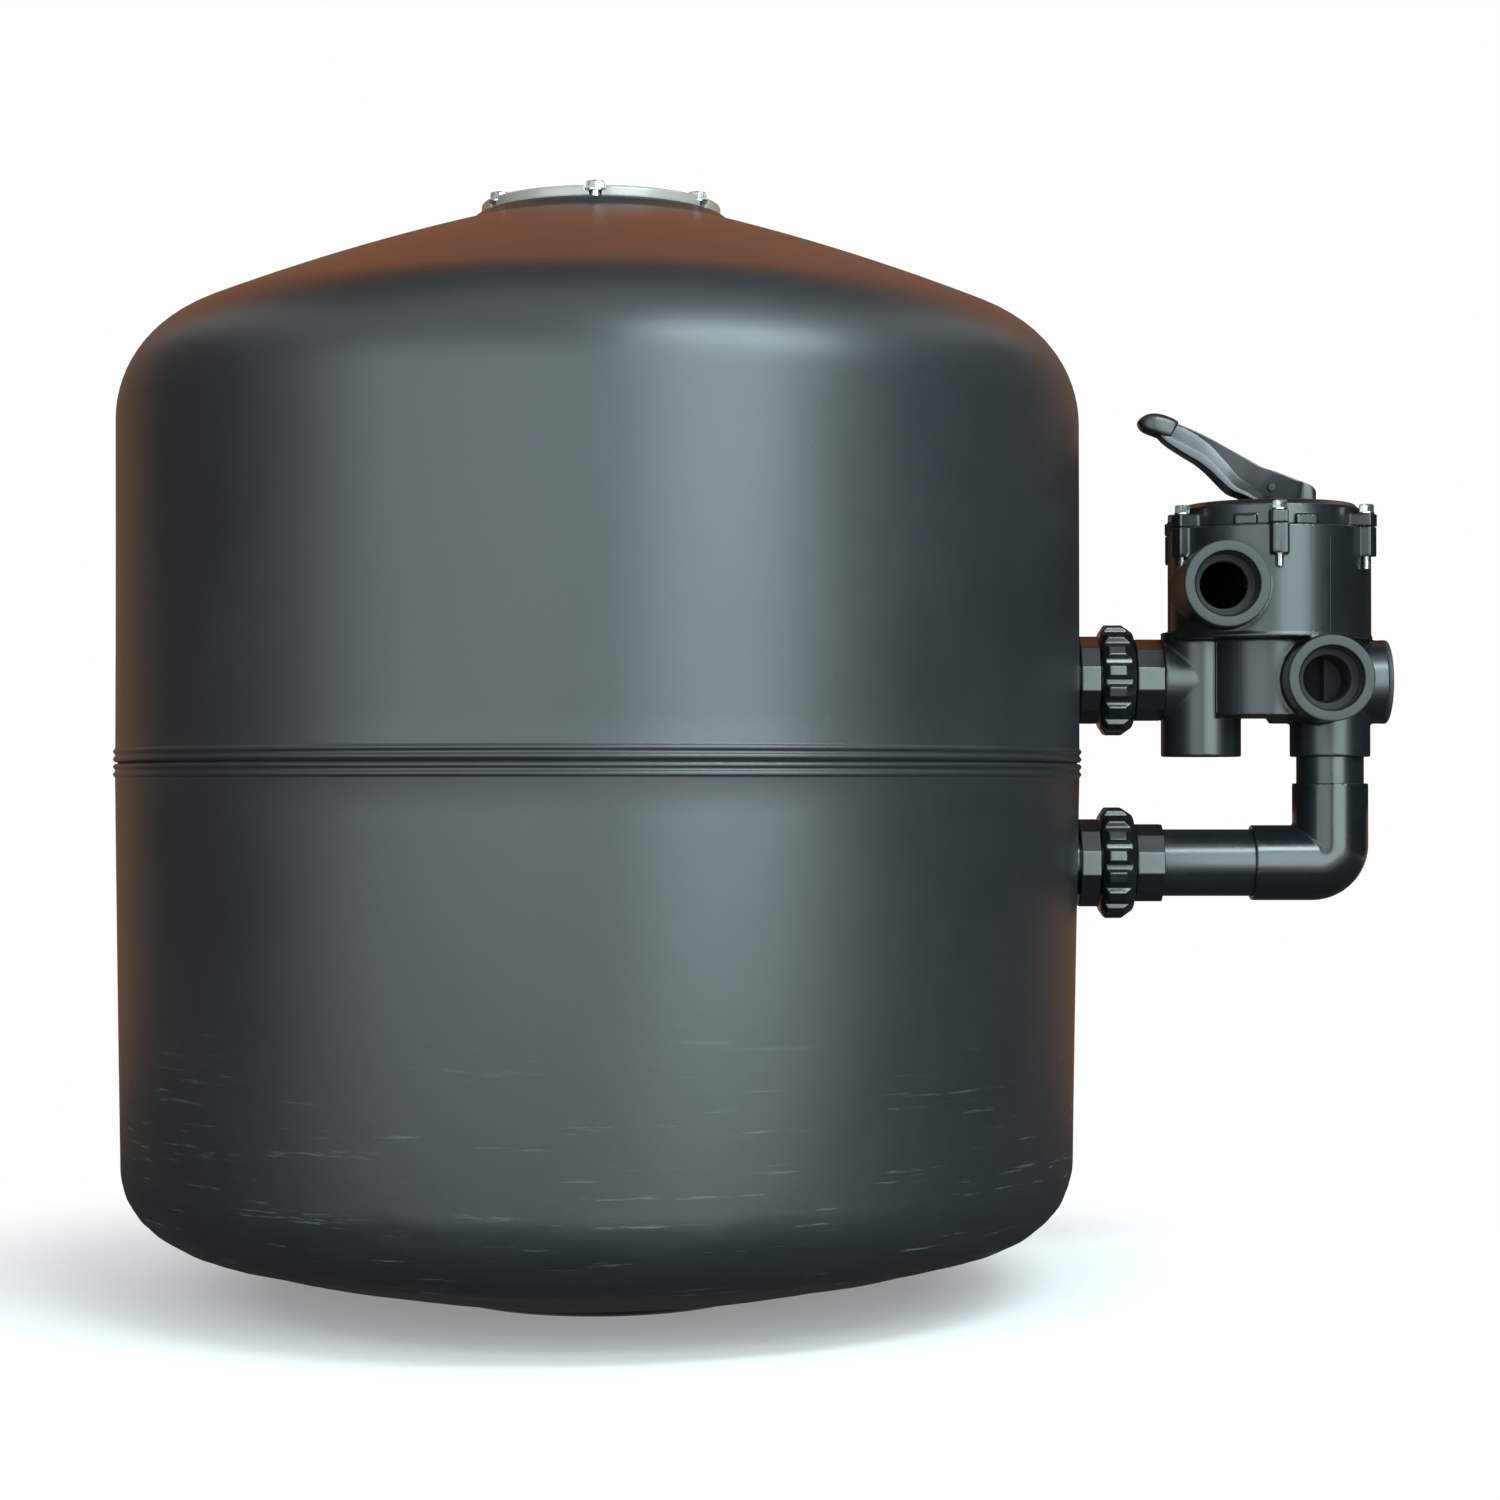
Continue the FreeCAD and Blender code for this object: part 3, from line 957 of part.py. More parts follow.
def lever_flange():
    """Outline of the raised band that sweeps down each cheek, from the full neck to the hub's lower edge."""
    end_slant = V(sine(LEVER_SLOPE), 0, cosine(LEVER_SLOPE)) * (NECK_HEIGHT / 2)
    neck = lever_point(1, 1)
    crest = [neck + end_slant * LEVER_BAND_SHARE] + [lever_point(*share) for share in LEVER_CREST]
    crest.append(V(EYE_RADIUS, 0, CAM_LOW * LEVER_BAND_SHARE))
    curve = Part.BSplineCurve()
    curve.interpolate(crest)
    low = V(-CAM_OFFSET * cosine(CAM_REST_ANGLE), 0, CAM_LOW)
    under = [crest[-1], V(EYE_RADIUS, 0, CAM_LOW), low, lever_point(*LEVER_HEEL)]
    under += [lever_point(*share) for share in LEVER_UNDER] + [neck - end_slant, crest[0]]
    return Part.Wire(Part.__sortEdges__([curve.toShape()] + chain(under)))


def lever_block(length, width, height, start):
    """A block along the lever's slope, from the neck outwards and centred on the lever."""
    return Part.makeBox(length, width, height, V(start, -width / 2, -height / 2))


def place_on_lever(shape):
    """Turns a shape drawn along +X at the origin to the slope of the lever at its neck."""
    shape.rotate(V(0, 0, 0), Y_AXIS, 180 + LEVER_SLOPE)
    shape.translate(V(VALVE_X, 0, PIN_HEIGHT) + lever_point(1, 1))
    return shape


def handle():
    """Cam lever: channel with two cheeks on the pin, eccentric underside and a raised band on each cheek."""
    solid = side_plate(handle_outline(0), HANDLE_HUB_WIDTH)
    solid = solid.common(lever_plan(HANDLE_HUB_WIDTH, HANDLE_NECK_WIDTH))
    inner_hub = HANDLE_HUB_WIDTH - 2 * HANDLE_CHEEK
    inner_neck = HANDLE_NECK_WIDTH - HANDLE_CHEEK
    hollow = side_plate(handle_outline(HANDLE_WEB), inner_hub)
    hollow = hollow.common(lever_plan(inner_hub, inner_neck))
    stop = V(VALVE_X + HANDLE_END - HANDLE_BLOCK, -HANDLE_HUB_WIDTH, PIN_HEIGHT - LEVER_LENGTH)
    hollow = hollow.cut(Part.makeBox(HANDLE_BLOCK * 2, HANDLE_HUB_WIDTH * 2, 2 * LEVER_LENGTH, stop))
    below = hollow.copy()
    below.translate(V(0, 0, -HANDLE_WEB))
    flange_width = HANDLE_HUB_WIDTH + 2 * HANDLE_FLANGE
    flange = side_plate(lever_flange(), flange_width)
    flange = flange.common(lever_plan(flange_width, HANDLE_NECK_WIDTH + HANDLE_FLANGE))
    tang = place_on_lever(lever_block(GRIP_TANG_LENGTH + HANDLE_OVERRUN, HANDLE_NECK_WIDTH - HANDLE_FLANGE * 2,
                                      GRIP_TANG_HEIGHT, -HANDLE_OVERRUN))
    hole = tube_solid(PIN_RADIUS + PIN_CLEARANCE, flange_width, V(VALVE_X, -flange_width / 2, PIN_HEIGHT), Y_AXIS)
    return fused([solid, flange]).cut([hollow, below, hole]).fuse(tang).removeSplitter()


def handle_grip():
    """Knob end pushed over the tang of the lever."""
    block = lever_block(GRIP_LENGTH, GRIP_WIDTH, GRIP_HEIGHT, FIT_GAP)
    block = block.makeFillet(GRIP_ROUND, block.Edges)
    pocket = lever_block(GRIP_TANG_LENGTH, HANDLE_NECK_WIDTH - HANDLE_FLANGE * 2, GRIP_TANG_HEIGHT, 0)
    return place_on_lever(block.cut(pocket))


def inner_elbow(height, side_z):
    """Elbow at the tank axis between the level pipe and the upright one."""
    centre = V(0, 0, height)
    side = V(1, 0, side_z)
    outer = bend(INNER_PIPE_RADIUS + INNER_ELBOW_WALL, INNER_ELBOW_BEND, centre, INNER_ELBOW_LEG, side)
    bore = bend(INNER_PIPE_RADIUS - INNER_PIPE_WALL, INNER_ELBOW_BEND, centre, INNER_ELBOW_LEG, side)
    level = tube_solid(INNER_PIPE_RADIUS, INNER_SOCKET_DEPTH,
                       V(INNER_ELBOW_LEG - INNER_SOCKET_DEPTH, 0, height), X_AXIS)
    upright_start = height + side_z * (INNER_ELBOW_LEG - INNER_SOCKET_DEPTH)
    upright = tube_solid(INNER_PIPE_RADIUS, INNER_SOCKET_DEPTH, V(0, 0, upright_start), Z_AXIS * side_z)
    return outer.cut([bore, level, upright])


def inner_level_pipe(height):
    start = INNER_ELBOW_LEG - INNER_SOCKET_DEPTH
    end = PAD_INNER_FACE - CONNECTOR_GASKET - CONNECTOR_FLANGE_WIDTH
    return ring_solid(INNER_PIPE_RADIUS, INNER_PIPE_RADIUS - INNER_PIPE_WALL, end - start,
                      V(start, 0, height), X_AXIS)


def feed_pipe():
    low = UPPER_PORT_HEIGHT + INNER_ELBOW_LEG - INNER_SOCKET_DEPTH
    return ring_solid(INNER_PIPE_RADIUS, INNER_PIPE_RADIUS - INNER_PIPE_WALL,
                      DIFFUSER_HEIGHT - low, V(0, 0, low), Z_AXIS)


def drop_pipe():
    high = LOWER_PORT_HEIGHT - INNER_ELBOW_LEG + INNER_SOCKET_DEPTH
    low = LATERAL_HEIGHT + LATERAL_RADIUS + HUB_WALL
    return ring_solid(INNER_PIPE_RADIUS, INNER_PIPE_RADIUS - INNER_PIPE_WALL, high - low, V(0, 0, low), Z_AXIS)


def diffuser():
    """Top distributor: a collar on the feed pipe, posts and a splash cone above."""
    collar_outer = INNER_PIPE_RADIUS + INNER_ELBOW_WALL
    collar = ring_solid(collar_outer, INNER_PIPE_RADIUS, INNER_SOCKET_DEPTH,
                        V(0, 0, DIFFUSER_HEIGHT - INNER_SOCKET_DEPTH), Z_AXIS)
    cup = revolved([V(INNER_PIPE_RADIUS, 0, DIFFUSER_HEIGHT), V(collar_outer, 0, DIFFUSER_HEIGHT - DIFFUSER_PLATE),
                    V(DIFFUSER_RADIUS, 0, DIFFUSER_HEIGHT + DIFFUSER_PLATE),
                    V(DIFFUSER_RADIUS, 0, DIFFUSER_HEIGHT + 2 * DIFFUSER_PLATE)], V(0, 0, 0), Z_AXIS)
    cone_base = DIFFUSER_HEIGHT + DIFFUSER_GAP
    cone = revolved([V(0, 0, cone_base - DIFFUSER_PLATE * 2), V(DIFFUSER_RADIUS, 0, cone_base),
                     V(DIFFUSER_RADIUS, 0, cone_base + DIFFUSER_PLATE), V(0, 0, cone_base)],
                    V(0, 0, 0), Z_AXIS)
    post_circle = DIFFUSER_RADIUS - DIFFUSER_PLATE
    post = tube_solid(DIFFUSER_POST_RADIUS, DIFFUSER_GAP - DIFFUSER_PLATE,
                      V(post_circle, 0, DIFFUSER_HEIGHT + DIFFUSER_PLATE), Z_AXIS)
    return fused([collar, cup, cone] + around(post, DIFFUSER_POSTS, V(0, 0, 0)))


def lateral_start():
    return HUB_RADIUS - INNER_SOCKET_DEPTH


def collector_hub():
    """Hollow hub at the foot of the drop pipe, with a socket for every lateral."""
    low = LATERAL_HEIGHT - LATERAL_RADIUS - HUB_WALL
    height = 2 * (LATERAL_RADIUS + HUB_WALL)
    body = tube_solid(HUB_RADIUS, height, V(0, 0, low), Z_AXIS)
    neck_top = low + height + INNER_SOCKET_DEPTH
    neck = tube_solid(INNER_PIPE_RADIUS + INNER_ELBOW_WALL, neck_top - low, V(0, 0, low), Z_AXIS)
    hollow = tube_solid(lateral_start() - HUB_WALL, 2 * LATERAL_RADIUS, V(0, 0, low + HUB_WALL), Z_AXIS)
    socket = tube_solid(INNER_PIPE_RADIUS, INNER_SOCKET_DEPTH, V(0, 0, low + height), Z_AXIS)
    passage = tube_solid(INNER_PIPE_RADIUS - INNER_PIPE_WALL, height, V(0, 0, low + HUB_WALL), Z_AXIS)
    pocket = tube_solid(LATERAL_RADIUS, HUB_RADIUS, V(lateral_start(), 0, LATERAL_HEIGHT), X_AXIS)
    feed = tube_solid(LATERAL_RADIUS - LATERAL_WALL, HUB_RADIUS, V(0, 0, LATERAL_HEIGHT), X_AXIS)
    sockets = around(fused([pocket, feed]), LATERAL_COUNT, V(0, 0, 0))
    return fused([body, neck]).cut([hollow, socket, passage] + sockets)


def laterals():
    """Slotted collecting tubes that lie in the gravel like spokes."""
    start = lateral_start()
    tube = ring_solid(LATERAL_RADIUS, LATERAL_RADIUS - LATERAL_WALL, LATERAL_REACH - start,
                      V(start, 0, LATERAL_HEIGHT), X_AXIS)
    slot_length = LATERAL_REACH - CAP_LENGTH - HUB_RADIUS - 2 * LATERAL_SLOT_END
    slot_base = LATERAL_HEIGHT - LATERAL_RADIUS - LATERAL_WALL
    slot_corner = V(HUB_RADIUS + LATERAL_SLOT_END, -LATERAL_SLOT_WIDTH / 2, slot_base)
    slot = Part.makeBox(slot_length, LATERAL_SLOT_WIDTH, LATERAL_RADIUS, slot_corner)
    return Part.makeCompound(around(tube.cut(slot), LATERAL_COUNT, V(0, 0, 0)))


def lateral_caps():
    cap = tube_solid(LATERAL_RADIUS + CAP_WALL, CAP_LENGTH, V(LATERAL_REACH - CAP_LENGTH + CAP_WALL, 0,
                     LATERAL_HEIGHT), X_AXIS)
    cap = cap.cut(tube_solid(LATERAL_RADIUS, CAP_LENGTH - CAP_WALL,
                             V(LATERAL_REACH - CAP_LENGTH + CAP_WALL, 0, LATERAL_HEIGHT), X_AXIS))
    return Part.makeCompound(around(cap, LATERAL_COUNT, V(0, 0, 0)))


def media_space():
    """Room for the filter media inside the lower shell, as a plain turned outline."""
    wall = TANK_RADIUS - TANK_WALL - LOWER_TAPER - FIT_GAP
    throat = TANK_RADIUS - TANK_WALL - SEAM_LIP_THICKNESS - FIT_GAP
    floor = TANK_WALL + FIT_GAP
    outline = [V(0, 0, floor), V(FOOT_RADIUS - 3 * TANK_WALL, 0, floor), V(MEDIA_SLOPE_RADIUS, 0, MEDIA_SLOPE_HEIGHT),
               V(wall, 0, BASE_KNUCKLE_HEIGHT), V(wall, 0, SEAM_HEIGHT - SEAM_LIP_HEIGHT - FIT_GAP),
               V(throat, 0, SEAM_HEIGHT - SEAM_LIP_HEIGHT - FIT_GAP), V(throat, 0, SAND_HEIGHT),
               V(0, 0, SAND_HEIGHT)]
    return revolved(outline, V(0, 0, 0), Z_AXIS)


def media_hollows():
    """Plain solids of the pipes that the sand and gravel lie round."""
    level = tube_solid(INNER_PIPE_RADIUS, PAD_INNER_FACE, V(0, 0, LOWER_PORT_HEIGHT), X_AXIS)
    elbow = bend(INNER_PIPE_RADIUS + INNER_ELBOW_WALL, INNER_ELBOW_BEND,
                 V(0, 0, LOWER_PORT_HEIGHT), INNER_ELBOW_LEG, V(1, 0, -1))
    flange_back = PAD_INNER_FACE - CONNECTOR_GASKET - CONNECTOR_FLANGE_WIDTH
    socket = tube_solid(INNER_PIPE_RADIUS + CONNECTOR_SOCKET_WALL, CONNECTOR_SOCKET_DEPTH,
                        V(flange_back - CONNECTOR_SOCKET_DEPTH, 0, LOWER_PORT_HEIGHT), X_AXIS)
    flange = tube_solid(PAD_RADIUS, TANK_RADIUS - flange_back, V(flange_back, 0, LOWER_PORT_HEIGHT), X_AXIS)
    drop = tube_solid(INNER_PIPE_RADIUS, LOWER_PORT_HEIGHT - LATERAL_HEIGHT, V(0, 0, LATERAL_HEIGHT), Z_AXIS)
    hub_low = LATERAL_HEIGHT - LATERAL_RADIUS - HUB_WALL
    hub_height = 2 * (LATERAL_RADIUS + HUB_WALL)
    hub = tube_solid(HUB_RADIUS, hub_height, V(0, 0, hub_low), Z_AXIS)
    hub_neck = tube_solid(INNER_PIPE_RADIUS + INNER_ELBOW_WALL, hub_height + INNER_SOCKET_DEPTH,
                          V(0, 0, hub_low), Z_AXIS)
    spoke = tube_solid(LATERAL_RADIUS + CAP_WALL, LATERAL_REACH + CAP_WALL, V(0, 0, LATERAL_HEIGHT), X_AXIS)
    spokes = around(spoke, LATERAL_COUNT, V(0, 0, 0))
    drain = tube_solid(DRAIN_FLANGE + DRAIN_PAD_MARGIN + FIT_GAP, TANK_WALL + DRAIN_INNER_LENGTH,
                       V(0, DRAIN_INNER_FACE - DRAIN_INNER_LENGTH, DRAIN_HEIGHT), Y_AXIS)
    return [level, elbow, socket, flange, drop, hub, hub_neck, drain] + spokes


def gravel_bed():
    layer = tube_solid(TANK_RADIUS, GRAVEL_HEIGHT, V(0, 0, 0), Z_AXIS)
    return media_space().common(layer).cut(media_hollows())


def sand_bed():
    layer = tube_solid(TANK_RADIUS, SAND_HEIGHT - GRAVEL_HEIGHT, V(0, 0, GRAVEL_HEIGHT), Z_AXIS)
    return media_space().common(layer).cut(media_hollows())


def drain_fitting():
    """Threaded bush through the wall, with an eight-sided flange outside."""
    inner_end = DRAIN_INNER_FACE - DRAIN_INNER_LENGTH
    face = DRAIN_FACE
    corner = DRAIN_FLANGE / cosine(180 / DRAIN_FLANGE_SIDES)
    points = []
    for index in range(DRAIN_FLANGE_SIDES):
        angle = (index + 0.5) * 360 / DRAIN_FLANGE_SIDES
        points.append(V(corner * sine(angle), face, DRAIN_HEIGHT + corner * cosine(angle)))
    flange = prism(points, Y_AXIS * DRAIN_FLANGE_WIDTH)
    bush = tube_solid(DRAIN_TUBE, face - inner_end, V(0, inner_end, DRAIN_HEIGHT), Y_AXIS)
    bore = tube_solid(DRAIN_BORE, face - inner_end + DRAIN_FLANGE_WIDTH, V(0, inner_end, DRAIN_HEIGHT), Y_AXIS)
    return fused([flange, bush]).cut(bore)


def drain_gasket():
    return ring_solid(DRAIN_GASKET_RADIUS, DRAIN_BORE, DRAIN_GASKET,
                      V(0, DRAIN_FACE + DRAIN_FLANGE_WIDTH, DRAIN_HEIGHT), Y_AXIS)


def drain_plug():
    seat = DRAIN_FACE + DRAIN_FLANGE_WIDTH + DRAIN_GASKET
    corner = DRAIN_PLUG_FLATS / 2 / cosine(30)
    points = []
    for index in range(6):
        angle = (index + 0.5) * 60
        points.append(V(corner * sine(angle), seat, DRAIN_HEIGHT + corner * cosine(angle)))
    head = prism(points, Y_AXIS * DRAIN_PLUG_HEAD)
    shank = tube_solid(DRAIN_BORE, DRAIN_PLUG_SHANK, V(0, seat - DRAIN_PLUG_SHANK, DRAIN_HEIGHT), Y_AXIS)
    return fused([head, shank])


NODES = {
    "lower_tank_shell": lower_tank_shell,
    "upper_tank_shell": upper_tank_shell,
    "manway_lid": manway_lid,
    "lid_gasket": lid_gasket,
    "lid_bolts": lid_bolts,
    "lid_washers": lid_washers,
    "upper_tank_connector": lambda: tank_connector(UPPER_PORT_HEIGHT),
    "lower_tank_connector": lambda: tank_connector(LOWER_PORT_HEIGHT),
    "upper_tank_gasket": lambda: tank_gasket(UPPER_PORT_HEIGHT),
    "lower_tank_gasket": lambda: tank_gasket(LOWER_PORT_HEIGHT),
    "upper_tank_nut": lambda: tank_nut(UPPER_PORT_HEIGHT),
    "lower_tank_nut": lambda: tank_nut(LOWER_PORT_HEIGHT),
    "upper_union_seal": lambda: union_seal(UPPER_PORT_HEIGHT),
    "lower_union_seal": lambda: union_seal(LOWER_PORT_HEIGHT),
    "upper_union_nut": lambda: union_nut(UPPER_PORT_HEIGHT),
    "lower_union_nut": lambda: union_nut(LOWER_PORT_HEIGHT),
    "upper_union_tail": lambda: union_tail(UPPER_PORT_HEIGHT, UPPER_TAIL_FLATS),
    "lower_union_tail": lambda: union_tail(LOWER_PORT_HEIGHT, LOWER_TAIL_FLATS),
    "lower_pipe": lower_pipe,
    "pipe_elbow": pipe_elbow,
    "riser_pipe": riser_pipe,
    "socket_plug": socket_plug,
    "valve_body": valve_body,
    "spider_gasket": spider_gasket,
    "valve_cover": valve_cover,
    "cover_seal": cover_seal,
    "cover_bolts": cover_bolts,
    "cover_washers": cover_washers,
    "cover_inserts": cover_inserts,
    "rotor": rotor,
    "stem": stem,
    "stem_rings": stem_rings,
    "valve_spring": valve_spring,
    "thrust_washer": thrust_washer,
    "handle_pin": handle_pin,
    "handle": handle,
    "handle_grip": handle_grip,
    "feed_elbow": lambda: inner_elbow(UPPER_PORT_HEIGHT, 1),
    "return_elbow": lambda: inner_elbow(LOWER_PORT_HEIGHT, -1),
    "feed_level_pipe": lambda: inner_level_pipe(UPPER_PORT_HEIGHT),
    "return_level_pipe": lambda: inner_level_pipe(LOWER_PORT_HEIGHT),
    "feed_pipe": feed_pipe,
    "drop_pipe": drop_pipe,
    "diffuser": diffuser,
    "collector_hub": collector_hub,
    "laterals": laterals,
    "lateral_caps": lateral_caps,
    "gravel_bed": gravel_bed,
    "sand_bed": sand_bed,
    "drain_fitting": drain_fitting,
    "drain_gasket": drain_gasket,
    "drain_plug": drain_plug,
}

os.makedirs("parts", exist_ok=True)
for node, build in NODES.items():
    build().exportStep("parts/" + node + ".step")
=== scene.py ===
import math

import bmesh
import bpy
from mathutils import Matrix, Vector, noise


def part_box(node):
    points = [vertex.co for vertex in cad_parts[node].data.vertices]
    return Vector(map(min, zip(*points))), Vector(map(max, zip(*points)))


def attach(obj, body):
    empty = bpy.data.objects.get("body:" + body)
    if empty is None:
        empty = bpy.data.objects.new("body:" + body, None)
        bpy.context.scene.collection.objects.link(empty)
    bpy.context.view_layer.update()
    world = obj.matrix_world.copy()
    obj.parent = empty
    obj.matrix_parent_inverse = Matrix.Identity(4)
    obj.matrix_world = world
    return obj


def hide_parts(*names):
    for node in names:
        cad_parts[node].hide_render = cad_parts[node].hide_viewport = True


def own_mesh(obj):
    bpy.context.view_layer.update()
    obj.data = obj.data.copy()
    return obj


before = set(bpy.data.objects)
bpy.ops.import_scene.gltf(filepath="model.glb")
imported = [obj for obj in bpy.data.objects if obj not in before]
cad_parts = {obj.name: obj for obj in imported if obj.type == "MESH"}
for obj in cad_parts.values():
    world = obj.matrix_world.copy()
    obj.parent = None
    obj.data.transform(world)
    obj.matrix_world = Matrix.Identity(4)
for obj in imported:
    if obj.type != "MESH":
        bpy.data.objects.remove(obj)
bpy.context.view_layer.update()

# Tank shells. Two rotomoulded halves of black polyethylene, 8 mm thick, welded at
# mid height. The wall is plain, the shoulder is a round knuckle under a shallow cone,
# and the dished base stands on a small round foot and is a little lumpy from the mould.
MM = 0.001


def linear(code):
    """An sRGB hex colour as linear RGBA."""
    channels = [int(code[i:i + 2], 16) / 255 for i in (1, 3, 5)]
    return [c / 12.92 if c <= 0.04045 else ((c + 0.055) / 1.055) ** 2.4 for c in channels] + [1.0]


def add_node(material, kind, settings=None, links=None):
    """Adds a node, sets its properties and sockets by name, and links sockets to outputs."""
    node = material.node_tree.nodes.new(kind)
    for key, value in (settings or {}).items():
        if isinstance(key, str) and hasattr(node, key):
            setattr(node, key, value)
        else:
            node.inputs[key].default_value = value
    for key, output in (links or {}).items():
        material.node_tree.links.new(output, node.inputs[key])
    return node


def new_material(name):
    """An empty material, ready for its nodes."""
    material = bpy.data.materials.new(name)
    material.use_nodes = True
    material.node_tree.nodes.clear()
    return material


def place(name, mesh, material, body, slot, *nodes):
    """Puts a finished mesh in the scene, on its body and in place of its CAD nodes."""
    piece = bpy.data.objects.new(name, mesh)
    bpy.context.scene.collection.objects.link(piece)
    mesh.materials.append(material)
    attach(piece, body)
    if nodes:
        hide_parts(*nodes)
    return piece


def turned(name, outline, origin, axis, steps=96, shape=None):
    """A closed outline of (distance along the axis, radius) turned about the axis.
    shape(angle, distance, radius) may return another radius for threads, flats and dents."""
    mesh = bpy.data.meshes.new(name)
    form = bmesh.new()
    axis = Vector(axis).normalized()
    side = Vector((0, 1, 0)) if abs(axis.y) < 0.5 else Vector((1, 0, 0))
    side = (side - axis * side.dot(axis)).normalized()
    other = axis.cross(side)
    rings = []
    for distance, radius in outline:
        if radius <= 0:
            rings.append([form.verts.new(Vector(origin) + axis * distance)])
            continue
        ring = []
        for index in range(steps):
            angle = 2 * math.pi * index / steps
            reach = shape(angle, distance, radius) if shape else radius
            out = side * math.cos(angle) + other * math.sin(angle)
            ring.append(form.verts.new(Vector(origin) + axis * distance + out * reach))
        rings.append(ring)
    for first, second in zip(rings, rings[1:] + rings[:1]):
        if len(first) == 1 and len(second) == 1:
            continue
        for index in range(steps):
            after = (index + 1) % steps
            if len(first) == 1:
                form.faces.new((first[0], second[after], second[index]))
            elif len(second) == 1:
                form.faces.new((first[index], first[after], second[0]))
            else:
                form.faces.new((first[index], first[after], second[after], second[index]))
    bmesh.ops.recalc_face_normals(form, faces=form.faces)
    form.to_mesh(mesh)
    form.free()
    mesh.shade_smooth()
    return mesh


def dished_end(knuckle, knuckle_radius, end, crown_radius, side, steps=14):
    """Points (height, radius) of a knuckle arc and of the crown arc that runs on to end."""
    near = crown_radius - knuckle_radius
    span = knuckle - end
    along = (crown_radius ** 2 - near ** 2 + span.length_squared) / (2 * span.length)
    across = math.sqrt(crown_radius ** 2 - along ** 2)
    unit = span.normalized()
    crown = end + unit * along + Vector((unit.y, -unit.x)) * side * across
    meet = (knuckle - crown).normalized()
    turn = math.atan2(meet.y, meet.x)
    last = math.atan2(end.y - crown.y, end.x - crown.x)

    def arc(centre, radius, first_angle, last_angle, first_step):
        angles = [first_angle + (last_angle - first_angle) * i / steps for i in range(first_step, steps + 1)]
        return [centre + radius * Vector((math.cos(angle), math.sin(angle))) for angle in angles]

    points = arc(knuckle, knuckle_radius, 0, turn, 0) + arc(crown, crown_radius, turn, last, 1)
    return [(point.y, point.x) for point in points]


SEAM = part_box("lower_tank_shell")[1].z
NECK_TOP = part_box("upper_tank_shell")[1].z
TANK_RADIUS = 450 * MM
WALL = 8 * MM
LOWER_TAPER = 6 * MM
KNUCKLE = 108 * MM
SHOULDER_HEIGHT = 812 * MM
BASE_KNUCKLE = 76 * MM
BASE_HEIGHT = 131 * MM
CROWN = 2.4
FOOT_RADIUS = 144 * MM
FOOT_STEP = 5 * MM
NECK_RADIUS = 119 * MM
NECK_BASE = Vector((125 * MM, NECK_TOP - 7 * MM))
MANWAY_RADIUS = 90 * MM
NECK_DEPTH = 30 * MM
BEAD_PITCH = 7 * MM
BEAD_RISE = 2 * MM
BEAD_STEPS = 8
BEAD_COUNT = 2
BEADS = BEAD_PITCH * BEAD_COUNT
GROOVE_DEPTH = 2.2 * MM
GROOVE_HALF_WIDTH = 0.5 * MM
WALL_ROWS = 12
TANK_STEPS = 288
WAVES_ROUND = 1.3
WAVES_UP = 2.2
WAVE_RISE = 1.1 * MM
DENT_RISE = 7 * MM
DENTS_PER_METRE = 16
FOLD_RISE = 3 * MM
FOLDS_PER_METRE = 42
DENT_FLATNESS = 2.5


def seam_beads(direction):
    """Rows (height, radius) of the groove and the moulded beads, from the seam to the plain wall."""
    rows = [(SEAM, TANK_RADIUS - GROOVE_DEPTH),
            (SEAM + direction * GROOVE_HALF_WIDTH, TANK_RADIUS - GROOVE_DEPTH)]
    for step in range(1, BEAD_COUNT * BEAD_STEPS + 1):
        share = step / BEAD_STEPS
        rows.append((SEAM + direction * BEAD_PITCH * share,
                     TANK_RADIUS + BEAD_RISE * math.sin(math.pi * share) ** 2))
    return rows


def tank_surface(angle, height, radius):
    """Real walls are never true: long shallow waves, and dents and folds low on the base."""
    x, y = math.cos(angle), math.sin(angle)
    wave = noise.noise(Vector((x * WAVES_ROUND, y * WAVES_ROUND, height * WAVES_UP))) * WAVE_RISE
    reach = Vector((x * radius, y * radius, height * DENT_FLATNESS))
    dents = noise.noise(reach * DENTS_PER_METRE) * DENT_RISE + noise.noise(reach * FOLDS_PER_METRE) * FOLD_RISE
    share = max(0.0, 1 - height / BASE_HEIGHT) * min(1.0, height / WALL)
    return min(radius + wave * min(1.0, height / BASE_HEIGHT) + dents * share, TANK_RADIUS + BEAD_RISE)


knuckle = Vector((TANK_RADIUS - KNUCKLE, SHOULDER_HEIGHT))
shoulder = dished_end(knuckle, KNUCKLE, NECK_BASE, CROWN, 1)
inner_shoulder = dished_end(knuckle, KNUCKLE - WALL, NECK_BASE - Vector((0, WALL)), CROWN - WALL, 1)
upper_wall = [(SEAM + BEADS + (SHOULDER_HEIGHT - SEAM - BEADS) * i / WALL_ROWS, TANK_RADIUS)
              for i in range(1, WALL_ROWS)]
neck = [(NECK_TOP - 1 * MM, NECK_RADIUS + 0.4 * MM), (NECK_TOP, NECK_RADIUS - 1 * MM),
        (NECK_TOP, MANWAY_RADIUS), (NECK_TOP - NECK_DEPTH, MANWAY_RADIUS)]
inner_seam = [(SEAM, TANK_RADIUS - WALL)]
upper_outline = seam_beads(1) + upper_wall + shoulder + neck + inner_shoulder[::-1] + inner_seam

